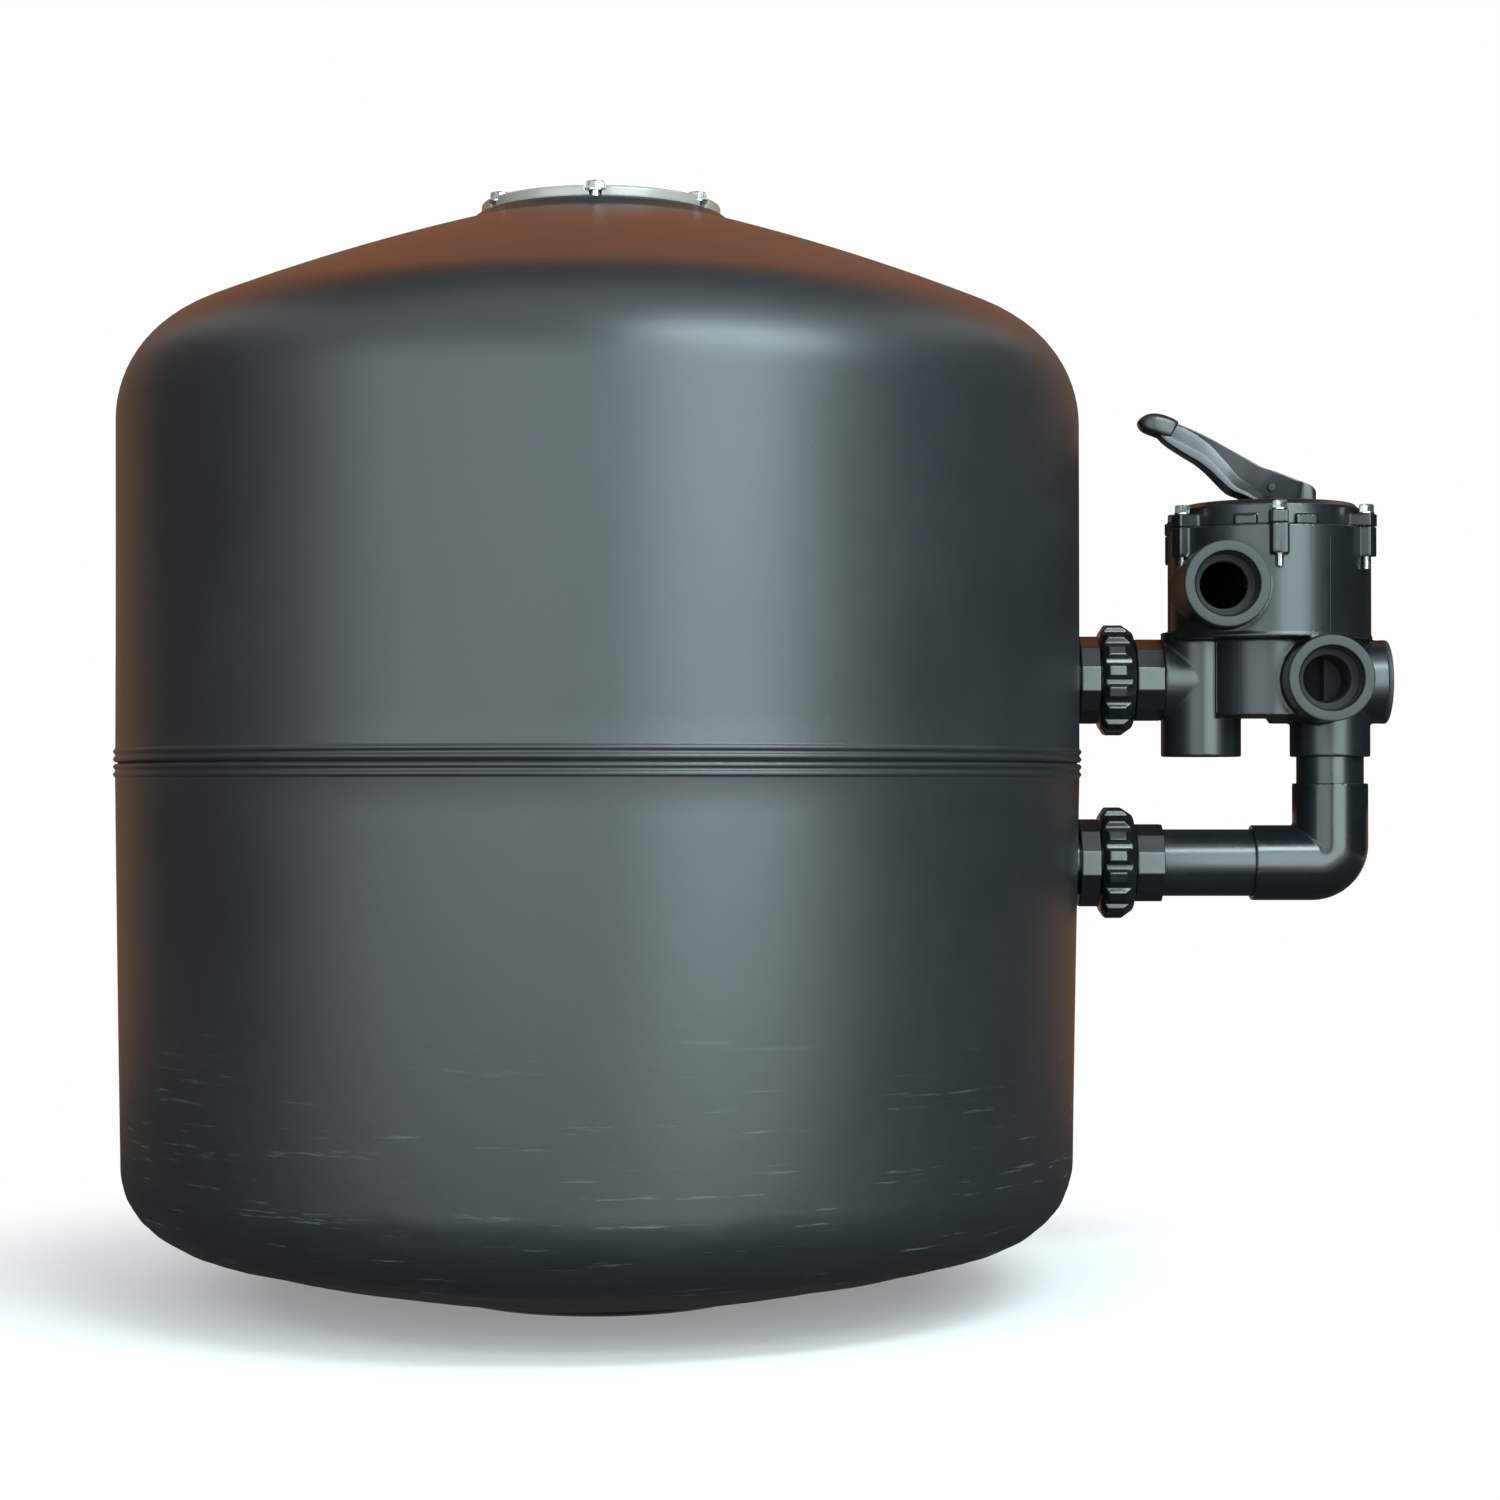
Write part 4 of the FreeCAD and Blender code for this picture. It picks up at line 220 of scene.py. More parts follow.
base_knuckle = Vector((TANK_RADIUS - LOWER_TAPER - BASE_KNUCKLE, BASE_HEIGHT))
foot_edge = Vector((FOOT_RADIUS + FOOT_STEP, FOOT_STEP))
base = dished_end(base_knuckle, BASE_KNUCKLE, foot_edge, CROWN, -1, steps=24)
inner_foot = Vector((FOOT_RADIUS, FOOT_STEP + WALL))
inner_base = dished_end(base_knuckle, BASE_KNUCKLE - WALL, inner_foot, CROWN - WALL, -1)
lower_wall = [(SEAM - BEADS + (BASE_HEIGHT - SEAM + BEADS) * i / WALL_ROWS,
               TANK_RADIUS - LOWER_TAPER * i / WALL_ROWS) for i in range(1, WALL_ROWS)]
foot = [(1 * MM, FOOT_RADIUS), (0, FOOT_RADIUS - 2 * MM), (0, 0), (WALL, 0)]
lower_outline = seam_beads(-1) + lower_wall + base + foot + inner_base[::-1] + inner_seam

# Polyethylene, moulded with no polish: near black, with a broad soft sheen, cloudy where
# the mould wall was rougher, a fine orange peel, and pale rubbed marks low on the body.
# The peel's real grain of about 1 mm is drawn at 4 mm so that it still shows.
tank_plastic = new_material("moulded_polyethylene")
coords = add_node(tank_plastic, "ShaderNodeTexCoord").outputs["Object"]
clouds = add_node(tank_plastic, "ShaderNodeTexNoise", {"Scale": 1 / (160 * MM), "Detail": 5.0, "Roughness": 0.62},
                  {"Vector": coords}).outputs["Fac"]
grain = add_node(tank_plastic, "ShaderNodeTexNoise", {"Scale": 1 / (4 * MM), "Detail": 3.0},
                 {"Vector": coords}).outputs["Fac"]
flow = add_node(tank_plastic, "ShaderNodeTexNoise", {"Scale": 1 / (30 * MM), "Detail": 4.0},
                {"Vector": coords}).outputs["Fac"]
# Rubbed marks about 110 mm long and 6 mm high.
squeezed = add_node(tank_plastic, "ShaderNodeMapping", {"Rotation": (0.0, 0.35, 0.5), "Scale": (9.0, 9.0, 160.0)},
                    {"Vector": coords}).outputs[0]
rubs = add_node(tank_plastic, "ShaderNodeTexNoise", {"Scale": 1.0, "Detail": 6.0, "Roughness": 0.7},
                {"Vector": squeezed}).outputs["Fac"]
rub_mask = add_node(tank_plastic, "ShaderNodeMapRange", {"From Min": 0.60, "From Max": 0.70},
                    {"Value": rubs}).outputs[0]
height = add_node(tank_plastic, "ShaderNodeSeparateXYZ", None, {0: coords}).outputs["Z"]
low_mask = add_node(tank_plastic, "ShaderNodeMapRange", {"From Min": 0.30, "From Max": 0.02},
                    {"Value": height}).outputs[0]
rub_low = add_node(tank_plastic, "ShaderNodeMath", {"operation": "MULTIPLY"}, {0: rub_mask, 1: low_mask}).outputs[0]
body_color = add_node(tank_plastic, "ShaderNodeMix",
                      {"data_type": "RGBA", 6: linear("#1a1d1f"), 7: linear("#26292b")}, {0: clouds}).outputs[2]
worn_color = add_node(tank_plastic, "ShaderNodeMix", {"data_type": "RGBA", 7: linear("#6a7070")},
                      {0: rub_low, 6: body_color}).outputs[2]
tank_gloss = add_node(tank_plastic, "ShaderNodeMapRange", {"To Min": 0.32, "To Max": 0.46},
                      {"Value": clouds}).outputs[0]
peel = add_node(tank_plastic, "ShaderNodeBump", {"Strength": 0.25, "Distance": 0.25 * MM},
                {"Height": grain}).outputs[0]
ripple = add_node(tank_plastic, "ShaderNodeBump", {"Strength": 0.25, "Distance": 0.8 * MM},
                  {"Height": flow, "Normal": peel}).outputs[0]
skin = add_node(tank_plastic, "ShaderNodeBsdfPrincipled", {"IOR": 1.54},
                {"Base Color": worn_color, "Roughness": tank_gloss, "Normal": ripple})
add_node(tank_plastic, "ShaderNodeOutputMaterial", None, {"Surface": skin.outputs[0]})

for name, outline, node in (("upper_shell", upper_outline, "upper_tank_shell"),
                            ("lower_shell", lower_outline, "lower_tank_shell")):
    place(name, turned(name, outline, (0, 0, 0), (0, 0, 1), TANK_STEPS, tank_surface),
          tank_plastic, "tank", "tank_plastic", node)

# Drain at the back of the base. A moulded bush with an eight-sided flange passes through
# a boss in the wall, and a hexagon plug with a rubber ring is screwed into it.
def softened(name, node, voxel=0.8 * MM, passes=3, keep=0.4):
    """The form of a CAD node with a moulding's soft edges: finely remeshed, smoothed, and
    thinned to a share of its faces."""
    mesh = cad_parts[node].data.copy()
    rough = bpy.data.objects.new(name, mesh)
    bpy.context.scene.collection.objects.link(rough)
    remesh = rough.modifiers.new("remesh", "REMESH")
    remesh.mode = "VOXEL"
    remesh.voxel_size = voxel
    smooth = rough.modifiers.new("smooth", "SMOOTH")
    smooth.factor = 0.5
    smooth.iterations = passes
    thin = rough.modifiers.new("thin", "DECIMATE")
    thin.ratio = keep
    result = bpy.data.meshes.new_from_object(rough.evaluated_get(bpy.context.evaluated_depsgraph_get()))
    bpy.data.objects.remove(rough)
    bpy.data.meshes.remove(mesh)
    result.materials.clear()
    result.shade_smooth()
    return result


def dress(material, *nodes):
    """Gives CAD nodes that stay in view, or hidden inside, their finish."""
    for node in nodes:
        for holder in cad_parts[node].material_slots:
            holder.link = "OBJECT"
            holder.material = material


def mottled(name, mottle, detail, colors, gloss, settings, relief=None):
    """A material whose colour and roughness, and with relief (strength, depth) its height,
    vary together in spots of one real size."""
    material = new_material(name)
    coords = add_node(material, "ShaderNodeTexCoord").outputs["Object"]
    spots = add_node(material, "ShaderNodeTexNoise", {"Scale": 1 / mottle, "Detail": detail},
                     {"Vector": coords}).outputs["Fac"]
    low, high = colors
    color = add_node(material, "ShaderNodeMix", {"data_type": "RGBA", 6: linear(low), 7: linear(high)},
                     {0: spots}).outputs[2]
    low, high = gloss
    dullness = add_node(material, "ShaderNodeMapRange", {"To Min": low, "To Max": high}, {"Value": spots}).outputs[0]
    links = {"Base Color": color, "Roughness": dullness}
    if relief:
        strength, depth = relief
        links["Normal"] = add_node(material, "ShaderNodeBump", {"Strength": strength, "Distance": depth},
                                   {"Height": spots}).outputs[0]
    shader = add_node(material, "ShaderNodeBsdfPrincipled", settings, links)
    add_node(material, "ShaderNodeOutputMaterial", None, {"Surface": shader.outputs[0]})
    return material


# Moulded PVC-U, black: a hard bright skin with slight flow waves, and a painted highlight that makes its sharp convex
# edges a shade paler.
fitting_plastic = new_material("moulded_pvc")
coords = add_node(fitting_plastic, "ShaderNodeTexCoord").outputs["Object"]
clouds = add_node(fitting_plastic, "ShaderNodeTexNoise", {"Scale": 1 / (12 * MM), "Detail": 3.0},
                  {"Vector": coords}).outputs["Fac"]
haze = add_node(fitting_plastic, "ShaderNodeTexNoise", {"Scale": 1 / (8 * MM), "Detail": 3.0},
                {"Vector": coords}).outputs["Fac"]
edge = add_node(fitting_plastic, "ShaderNodeNewGeometry").outputs["Pointiness"]
# Painted highlight: convex edges, found by their pointiness, are painted a paler grey.
edge_highlight_mask = add_node(fitting_plastic, "ShaderNodeMapRange", {"From Min": 0.53, "From Max": 0.62, "To Max": 0.5},
                     {"Value": edge}).outputs[0]
fitting_color = add_node(fitting_plastic, "ShaderNodeMix",
                         {"data_type": "RGBA", 6: linear("#0e1112"), 7: linear("#16191b")}, {0: clouds}).outputs[2]
edge_highlight_color = add_node(fitting_plastic, "ShaderNodeMix", {"data_type": "RGBA", 7: linear("#4a4f52")},
                       {0: edge_highlight_mask, 6: fitting_color}).outputs[2]
fitting_gloss = add_node(fitting_plastic, "ShaderNodeMapRange", {"To Min": 0.16, "To Max": 0.26},
                         {"Value": haze}).outputs[0]
waves = add_node(fitting_plastic, "ShaderNodeBump", {"Strength": 0.2, "Distance": 0.3 * MM},
                 {"Height": clouds}).outputs[0]
skin = add_node(fitting_plastic, "ShaderNodeBsdfPrincipled", {"IOR": 1.54},
                {"Base Color": edge_highlight_color, "Roughness": fitting_gloss, "Normal": waves})
add_node(fitting_plastic, "ShaderNodeOutputMaterial", None, {"Surface": skin.outputs[0]})

# EPDM rubber: moulded, deep black and quite dull, with a fine powdery bloom.
rubber = mottled("moulded_epdm", 2.5 * MM, 4.0, ("#131313", "#242423"), (0.6, 0.8), {"IOR": 1.52}, (0.3, 0.1 * MM))

for name, node in (("drain_bush", "drain_fitting"), ("drain_cap", "drain_plug")):
    place(name, softened(name, node), fitting_plastic, "tank", "black_fitting", node)
dress(rubber, "drain_gasket")

# Filter bed. Washed quartz gravel covers the collector and fine quartz sand fills the tank
# above it to just below the upper port. Both are hidden while the shells are shut.
def grainy(name, size, depth, strength, domed, colors, dullness):
    """A heap of grains of one real size, each of its own tone, standing up by a depth."""
    material = new_material(name)
    coords = add_node(material, "ShaderNodeTexCoord").outputs["Object"]
    grains = add_node(material, "ShaderNodeTexVoronoi", {"Scale": 1 / size}, {"Vector": coords})
    tone = add_node(material, "ShaderNodeSeparateColor", None, {0: grains.outputs["Color"]}).outputs[0]
    height = grains.outputs["Distance"]
    if domed:
        height = add_node(material, "ShaderNodeMath", {"operation": "SUBTRACT", 0: 1.0}, {1: height}).outputs[0]
    bump = add_node(material, "ShaderNodeBump", {"Strength": strength, "Distance": depth}, {"Height": height})
    low, high = colors
    color = add_node(material, "ShaderNodeMix", {"data_type": "RGBA", 6: linear(low), 7: linear(high)}, {0: tone})
    shader = add_node(material, "ShaderNodeBsdfPrincipled", {"Roughness": dullness, "IOR": 1.54},
                      {"Base Color": color.outputs[2], "Normal": bump.outputs[0]})
    add_node(material, "ShaderNodeOutputMaterial", None, {"Surface": shader.outputs[0]})
    return material


gravel = grainy("washed_gravel", 5 * MM, 2 * MM, 0.9, True, ("#8d7f6c", "#d8cdb8"), 0.75)
# Sand grains are drawn twice their real 0.4 mm so that they still show.
sand = grainy("quartz_sand", 0.8 * MM, 0.4 * MM, 0.6, False, ("#c9b48e", "#e6d9bd"), 0.9)
dress(gravel, "gravel_bed")
dress(sand, "sand_bed")

# Pipework inside the tank. Plain white PVC pipe and moulded elbows carry water up to the
# diffuser and back from the collector with its eight slotted laterals.
white_pipe = mottled("extruded_white_pvc", 20 * MM, 4.0, ("#d9d8d2", "#ecebe6"), (0.28, 0.42), {"IOR": 1.53})
dress(white_pipe, "feed_level_pipe", "return_level_pipe", "feed_pipe", "drop_pipe", "feed_elbow", "return_elbow")

# ABS, moulded in plain grey with a fine spark texture: the inner parts of such a filter.
inner_plastic = mottled("moulded_abs", 1.2 * MM, 3.0, ("#3f4244", "#55585a"), (0.38, 0.52), {"IOR": 1.54},
                        (0.25, 0.08 * MM))
dress(inner_plastic, "diffuser", "collector_hub", "laterals", "lateral_caps")

# Tank connectors. A flanged tube is clamped through each boss by a twelve-sided lock nut,
# and its threaded nose takes the union. All are black moulded PVC with rubber seals.
for level in ("upper", "lower"):
    place(level + "_lock_nut", softened(level + "_lock_nut", level + "_tank_nut", passes=2),
          fitting_plastic, "tank", "black_fitting", level + "_tank_nut")
dress(fitting_plastic, "upper_tank_connector", "lower_tank_connector")
dress(rubber, "upper_tank_gasket", "lower_tank_gasket", "upper_union_seal", "lower_union_seal")

# Unions. A hand nut with sixteen blunt grips pulls each tail against the connector's seal,
# and the tail ends in a twelve-sided collar, with bright flats, that is welded to the pipe.
for level in ("upper", "lower"):
    place(level + "_hand_nut", softened(level + "_hand_nut", level + "_union_nut"),
          fitting_plastic, "tank", "black_fitting", level + "_union_nut")
    place(level + "_tail", softened(level + "_tail", level + "_union_tail", passes=2),
          fitting_plastic, "tank", "black_fitting", level + "_union_tail")

# Pipe run outside the tank. Black 63 mm pressure pipe, 3.5 mm thick, with a moulded elbow
# that is welded over the pipe ends. A plug closes the valve's unused socket.
PIPE_RADIUS = 31.5 * MM
PIPE_WALL = 3.5 * MM
PIPE_EASE = 0.8 * MM
EASE_STEPS = 4


def eased(outline):
    """Rounds the corners of a closed outline of (distance, radius, corner size) points."""
    points = []
    for index, (distance, radius, ease) in enumerate(outline):
        corner = Vector((distance, radius))
        before = Vector(outline[index - 1][:2])
        after = Vector(outline[(index + 1) % len(outline)][:2])
        if ease <= 0:
            points.append(tuple(corner))
            continue
        start = corner + (before - corner).normalized() * min(ease, (before - corner).length * 0.48)
        end = corner + (after - corner).normalized() * min(ease, (after - corner).length * 0.48)
        for step in range(EASE_STEPS + 1):
            t = step / EASE_STEPS
            points.append(tuple(start * (1 - t) ** 2 + corner * 2 * t * (1 - t) + end * t ** 2))
    return points


def pipe(name, node, axis):
    """A cut length of pipe with broken edges, where its CAD node lies."""
    low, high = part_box(node)
    centre = (low + high) / 2
    length = (high - low).dot(axis)
    outline = eased([(0, PIPE_RADIUS, PIPE_EASE), (length, PIPE_RADIUS, PIPE_EASE),
                     (length, PIPE_RADIUS - PIPE_WALL, 0), (0, PIPE_RADIUS - PIPE_WALL, 0)])
    return turned(name, outline, centre - axis * length / 2, axis)


# Extruded PVC-U: satin, with faint lines along the pipe from the die, drawn at 1.4 mm so
# that they still show, and a rubbed, dusty skin.
pipe_plastic = new_material("extruded_pvc")
coords = add_node(pipe_plastic, "ShaderNodeTexCoord").outputs["Object"]
dust = add_node(pipe_plastic, "ShaderNodeTexNoise", {"Scale": 1 / (20 * MM), "Detail": 5.0, "Roughness": 0.6},
                {"Vector": coords}).outputs["Fac"]
drawn = add_node(pipe_plastic, "ShaderNodeMapping", {"Scale": (14.0, 700.0, 700.0)}, {"Vector": coords}).outputs[0]
die_lines = add_node(pipe_plastic, "ShaderNodeTexNoise", {"Scale": 1.0, "Detail": 2.0},
                     {"Vector": drawn}).outputs["Fac"]
die_bump = add_node(pipe_plastic, "ShaderNodeBump", {"Strength": 0.15, "Distance": 0.1 * MM},
                    {"Height": die_lines}).outputs[0]
pipe_color = add_node(pipe_plastic, "ShaderNodeMix",
                      {"data_type": "RGBA", 6: linear("#111415"), 7: linear("#1b1f21")}, {0: dust}).outputs[2]
pipe_gloss = add_node(pipe_plastic, "ShaderNodeMapRange", {"To Min": 0.2, "To Max": 0.32}, {"Value": dust}).outputs[0]
skin = add_node(pipe_plastic, "ShaderNodeBsdfPrincipled", {"IOR": 1.54},
                {"Base Color": pipe_color, "Roughness": pipe_gloss, "Normal": die_bump})
add_node(pipe_plastic, "ShaderNodeOutputMaterial", None, {"Surface": skin.outputs[0]})

for name, node, along in (("level_pipe", "lower_pipe", (1, 0, 0)), ("upright_pipe", "riser_pipe", (0, 0, 1))):
    place(name, pipe(name, node, Vector(along)), pipe_plastic, "tank", "black_pipe", node)
place("elbow", softened("elbow", "pipe_elbow", voxel=1.1 * MM, keep=0.35), fitting_plastic,
      "tank", "black_pipe", "pipe_elbow")
place("blind_plug", softened("blind_plug", "socket_plug", voxel=1.0 * MM, passes=2), fitting_plastic,
      "tank", "black_pipe", "socket_plug")

# Valve body. Glass-filled ABS, moulded in one: a wide drum over a narrower one, two sockets
# below, two threaded ports in front and one at the side, with flash lines where the mould split.
stem_low, stem_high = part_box("stem")
VALVE_X = (stem_low.x + stem_high.x) / 2
DRUM_RADIUS = 95 * MM
NECKED_RADIUS = 68 * MM
PORT_RADIUS = 39.6 * MM
PORT_BORE = 29.5 * MM
LIP_BORE = PORT_BORE + 0.6 * MM
LIP_PROUD = 0.4 * MM
LIP_DEPTH = 5 * MM
THREAD_PITCH = 2.31 * MM
THREAD_DEPTH = 1.2 * MM
THREAD_TURNS = 8
THREAD_START = 2 * MM
THREAD_STEPS = 6
PORT_DEPTH = 110 * MM
PORT_HEIGHT = 574.4 * MM
PORTS = (("a", (VALVE_X - 56 * MM, -PORT_DEPTH, 660.6 * MM), (0, 1, 0)),
         ("b", (VALVE_X + 38.7 * MM, -PORT_DEPTH, PORT_HEIGHT), (0, 1, 0)),
         ("c", (VALVE_X + PORT_DEPTH, 0, PORT_HEIGHT), (-1, 0, 0)))
FLASH_HALF_WIDTH = 0.55 * MM
FLASH_RISE = 0.45 * MM
FLASH_ROOT = 0.4 * MM
DRUM_SPAN = (618 * MM, 706 * MM)
NECKED_SPAN = (545 * MM, 611 * MM)


def port_thread(angle, distance, radius):
    """Radius of the parallel pipe thread inside a port."""
    turn = (distance / THREAD_PITCH - angle / (2 * math.pi)) % 1.0
    fade = min(1.0, max(0.0, (distance - 2.5 * MM) / THREAD_PITCH))
    return radius - THREAD_DEPTH * fade * (1 - abs(2 * turn - 1)) if radius < PORT_BORE else radius


def flash_line(form, x_offset, radius, span):
    """A fine raised line up a drum, at a distance beside the valve's axis and facing the front."""
    out = Vector((x_offset, -math.sqrt(radius ** 2 - x_offset ** 2), 0)).normalized()
    side = Vector((-out.y, out.x, 0))
    centre = Vector((VALVE_X, 0, 0)) + out * radius
    ends = []
    for height in span:
        middle = centre + Vector((0, 0, height))
        ends.append([form.verts.new(middle + side * FLASH_HALF_WIDTH - out * FLASH_ROOT),
                     form.verts.new(middle + out * FLASH_RISE),
                     form.verts.new(middle - side * FLASH_HALF_WIDTH - out * FLASH_ROOT)])
    for index in range(3):
        after = (index + 1) % 3
        form.faces.new((ends[0][index], ends[0][after], ends[1][after], ends[1][index]))
    form.faces.new(ends[0])
    form.faces.new(ends[1][::-1])


# Glass-filled ABS: satin grey-black, slightly mottled by the fibres, with a soft even sheen.
valve_plastic = new_material("glass_filled_abs")
coords = add_node(valve_plastic, "ShaderNodeTexCoord").outputs["Object"]
clouds = add_node(valve_plastic, "ShaderNodeTexNoise", {"Scale": 1 / (30 * MM), "Detail": 4.0, "Roughness": 0.6},
                  {"Vector": coords}).outputs["Fac"]
fibres = add_node(valve_plastic, "ShaderNodeTexNoise", {"Scale": 1 / (1.4 * MM), "Detail": 3.0},
                  {"Vector": coords}).outputs["Fac"]
fibre_bump = add_node(valve_plastic, "ShaderNodeBump", {"Strength": 0.2, "Distance": 0.1 * MM},
                      {"Height": fibres}).outputs[0]
valve_color = add_node(valve_plastic, "ShaderNodeMix",
                       {"data_type": "RGBA", 6: linear("#0f1213"), 7: linear("#1a1d1f")}, {0: clouds}).outputs[2]
valve_gloss = add_node(valve_plastic, "ShaderNodeMapRange", {"To Min": 0.24, "To Max": 0.36},
                       {"Value": clouds}).outputs[0]
# Inside the ports a painted shade: the bores are painted a deeper black, where they fall dark, and the surface there
# is dull.
for letter, face, inward in PORTS:
    across = Vector((1, 1, 1)) - Vector([abs(part) for part in inward])
    flat = add_node(valve_plastic, "ShaderNodeVectorMath", {"operation": "MULTIPLY", 1: across}, {0: coords})
    reach = add_node(valve_plastic, "ShaderNodeVectorMath", {"operation": "DISTANCE", 1: Vector(face) * across},
                     {0: flat.outputs[0]})
    within = add_node(valve_plastic, "ShaderNodeMath", {"operation": "LESS_THAN", 1: PORT_BORE - 0.6 * MM},
                      {0: reach.outputs["Value"]})
    depth = add_node(valve_plastic, "ShaderNodeVectorMath", {"operation": "DISTANCE", 1: face}, {0: coords})
    near = add_node(valve_plastic, "ShaderNodeMath", {"operation": "LESS_THAN", 1: PORT_DEPTH},
                    {0: depth.outputs["Value"]})
    port_shade_mask = add_node(valve_plastic, "ShaderNodeMath", {"operation": "MULTIPLY"},
                    {0: within.outputs[0], 1: near.outputs[0]}).outputs[0]
    # The painted shade inside each port's bore.
    valve_color = add_node(valve_plastic, "ShaderNodeMix", {"data_type": "RGBA", 7: linear("#070808")},
                           {0: port_shade_mask, 6: valve_color}).outputs[2]
    valve_gloss = add_node(valve_plastic, "ShaderNodeMix", {3: 0.75}, {0: port_shade_mask, 2: valve_gloss}).outputs[0]
skin = add_node(valve_plastic, "ShaderNodeBsdfPrincipled", {"IOR": 1.54},
                {"Base Color": valve_color, "Roughness": valve_gloss, "Normal": fibre_bump})
add_node(valve_plastic, "ShaderNodeOutputMaterial", None, {"Surface": skin.outputs[0]})
# The same plastic where a cutter has faced it: dull, and paler because the fibres are bared.
faced_plastic = mottled("faced_abs", 1.6 * MM, 4.0, ("#1d2121", "#292d2c"), (0.55, 0.7), {"IOR": 1.54},
                        (0.3, 0.1 * MM))

place("valve_housing", softened("valve_housing", "valve_body", voxel=1.3 * MM, keep=0.35), valve_plastic,
      "tank", "valve_plastic", "valve_body")
for letter, face, inward in PORTS:
    lip = eased([(-LIP_PROUD, LIP_BORE, 1.2 * MM), (-LIP_PROUD, PORT_RADIUS, 1.8 * MM),
                 (LIP_DEPTH, PORT_RADIUS, 0), (LIP_DEPTH, LIP_BORE, 0)])
    place("port_lip_" + letter, turned("port_lip_" + letter, lip, face, inward), faced_plastic,
          "tank", "valve_plastic")
    crests = [(THREAD_START + THREAD_PITCH * i / THREAD_STEPS, PORT_BORE - 0.05 * MM)
              for i in range(THREAD_STEPS * THREAD_TURNS + 1)]
    sleeve = crests + [(crests[-1][0], PORT_BORE + 0.8 * MM), (crests[0][0], PORT_BORE + 0.8 * MM)]
    place("port_thread_" + letter, turned("port_thread_" + letter, sleeve, face, inward, 72, port_thread),
          valve_plastic, "tank", "valve_plastic")
flash_mesh = bpy.data.meshes.new("flash_lines")
flash_form = bmesh.new()
flash_line(flash_form, 42 * MM, DRUM_RADIUS, DRUM_SPAN)
flash_line(flash_form, -55.6 * MM, NECKED_RADIUS, NECKED_SPAN)
flash_line(flash_form, 20 * MM, NECKED_RADIUS, NECKED_SPAN)
bmesh.ops.recalc_face_normals(flash_form, faces=flash_form.faces)
flash_form.to_mesh(flash_mesh)
flash_form.free()
place("flash_lines", flash_mesh, faced_plastic, "tank", "valve_plastic")

# Inside the valve. The distributor lies on a rubber spider that covers the webs of the
# deck; a steel coil spring holds it down, and two rings seal its stem in the cover.
steel = mottled("stainless_steel", 1.2 * MM, 3.0, ("#b4b8b8", "#d2d5d4"), (0.18, 0.34), {"Metallic": 1.0},
                (0.15, 0.05 * MM))
brass = mottled("turned_brass", 3 * MM, 3.0, ("#a5823f", "#d1ae63"), (0.22, 0.38), {"Metallic": 1.0})
dress(rubber, "spider_gasket", "cover_seal", "stem_rings")
dress(inner_plastic, "rotor")
dress(brass, "cover_inserts")
# The spring's lower end goes up with the rotor, by the cam's travel.
spring_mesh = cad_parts["valve_spring"].data.copy()
spring_mesh.materials.clear()
coil = place("coil_spring", spring_mesh, steel, "carrier", "stainless", "valve_spring")
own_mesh(coil)

# Valve cover. A shallow drum of the same plastic as the body, ribbed on top, with six lugs
# that line up with the body's, and two small square stops moulded on its front edge.
place("cover", softened("cover", "valve_cover", voxel=1.1 * MM, keep=0.35), valve_plastic,
      "tank", "valve_plastic", "valve_cover")

# Cover screws. Six stainless M8 hexagon screws with washers clamp the cover; their ends
# stand out below the lugs, where the thread shows.
SCREW_RADIUS = 4 * MM
SCREW_FLATS = 13 * MM
SCREW_HEAD = 7 * MM
SCREW_PITCH = 1.25 * MM
SCREW_THREAD = 22 * MM
SCREW_CIRCLE = 98 * MM
SCREW_PHASE = -4
SCREW_COUNT = 6
WASHER_RADIUS = 7.4 * MM


def hex_screw(name, node, head, radius, flats, pitch=0, thread_length=0):
    """A hexagon screw as long as its CAD node, that points down with its axis at x = y = 0."""
    low, high = (corner.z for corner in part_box(node))
    head_low = high - head
    corner = flats / 2 / math.cos(math.radians(30))

    def profile(angle, distance, reach):
        if distance >= head_low:
            facet = (math.degrees(angle) % 60) - 30
            return min(reach, flats / 2 / math.cos(math.radians(facet)))
        if pitch and low + pitch / 2 < distance < low + thread_length:
            turn = (distance / pitch - angle / (2 * math.pi)) % 1.0
            return reach - pitch * 0.6 * abs(2 * turn - 1)
        return reach

    threads = [(low + pitch / 4 * i, radius) for i in range(2, int(thread_length / pitch * 4))] if pitch else []
    outline = [(low, 0), (low, radius * 0.8), (low + radius * 0.2, radius)] + threads
    outline += [(head_low - 0.01 * MM, radius), (head_low, corner), (high - 1.2 * MM, corner),
                (high - 0.3 * MM, flats / 2 * 0.98), (high, flats / 2 * 0.9), (high, 0)]
    return turned(name, outline, (0, 0, 0), (0, 0, 1), 48, profile)


def flat_washer(name, node, hole, radius, ease, top_ease):
    """A pressed washer as thick as its CAD node, with its axis at x = y = 0."""
    low, high = (corner.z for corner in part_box(node))
    outline = eased([(low, radius, ease), (high, radius, top_ease), (high, hole, 0), (low, hole, 0)])
    return turned(name, outline, (0, 0, 0), (0, 0, 1), 48)


def ring_of(name, mesh, centre, circle, count, phase):
    """One mesh with copies of a piece on its own axis, spaced round a centre from the front."""
    whole = bpy.data.meshes.new(name)
    form = bmesh.new()
    for index in range(count):
        start = len(form.verts)
        form.from_mesh(mesh)
        form.verts.ensure_lookup_table()
        angle = math.radians(phase + 360 / count * index - 90)
        move = Matrix.Translation(Vector(centre) + circle * Vector((math.cos(angle), math.sin(angle), 0)))
        move @= Matrix.Rotation(angle + math.radians(30), 4, "Z")
        bmesh.ops.transform(form, matrix=move, verts=form.verts[start:])
    form.to_mesh(whole)
    form.free()
    whole.shade_smooth()
    whole.set_sharp_from_angle(angle=math.radians(35))
    return whole


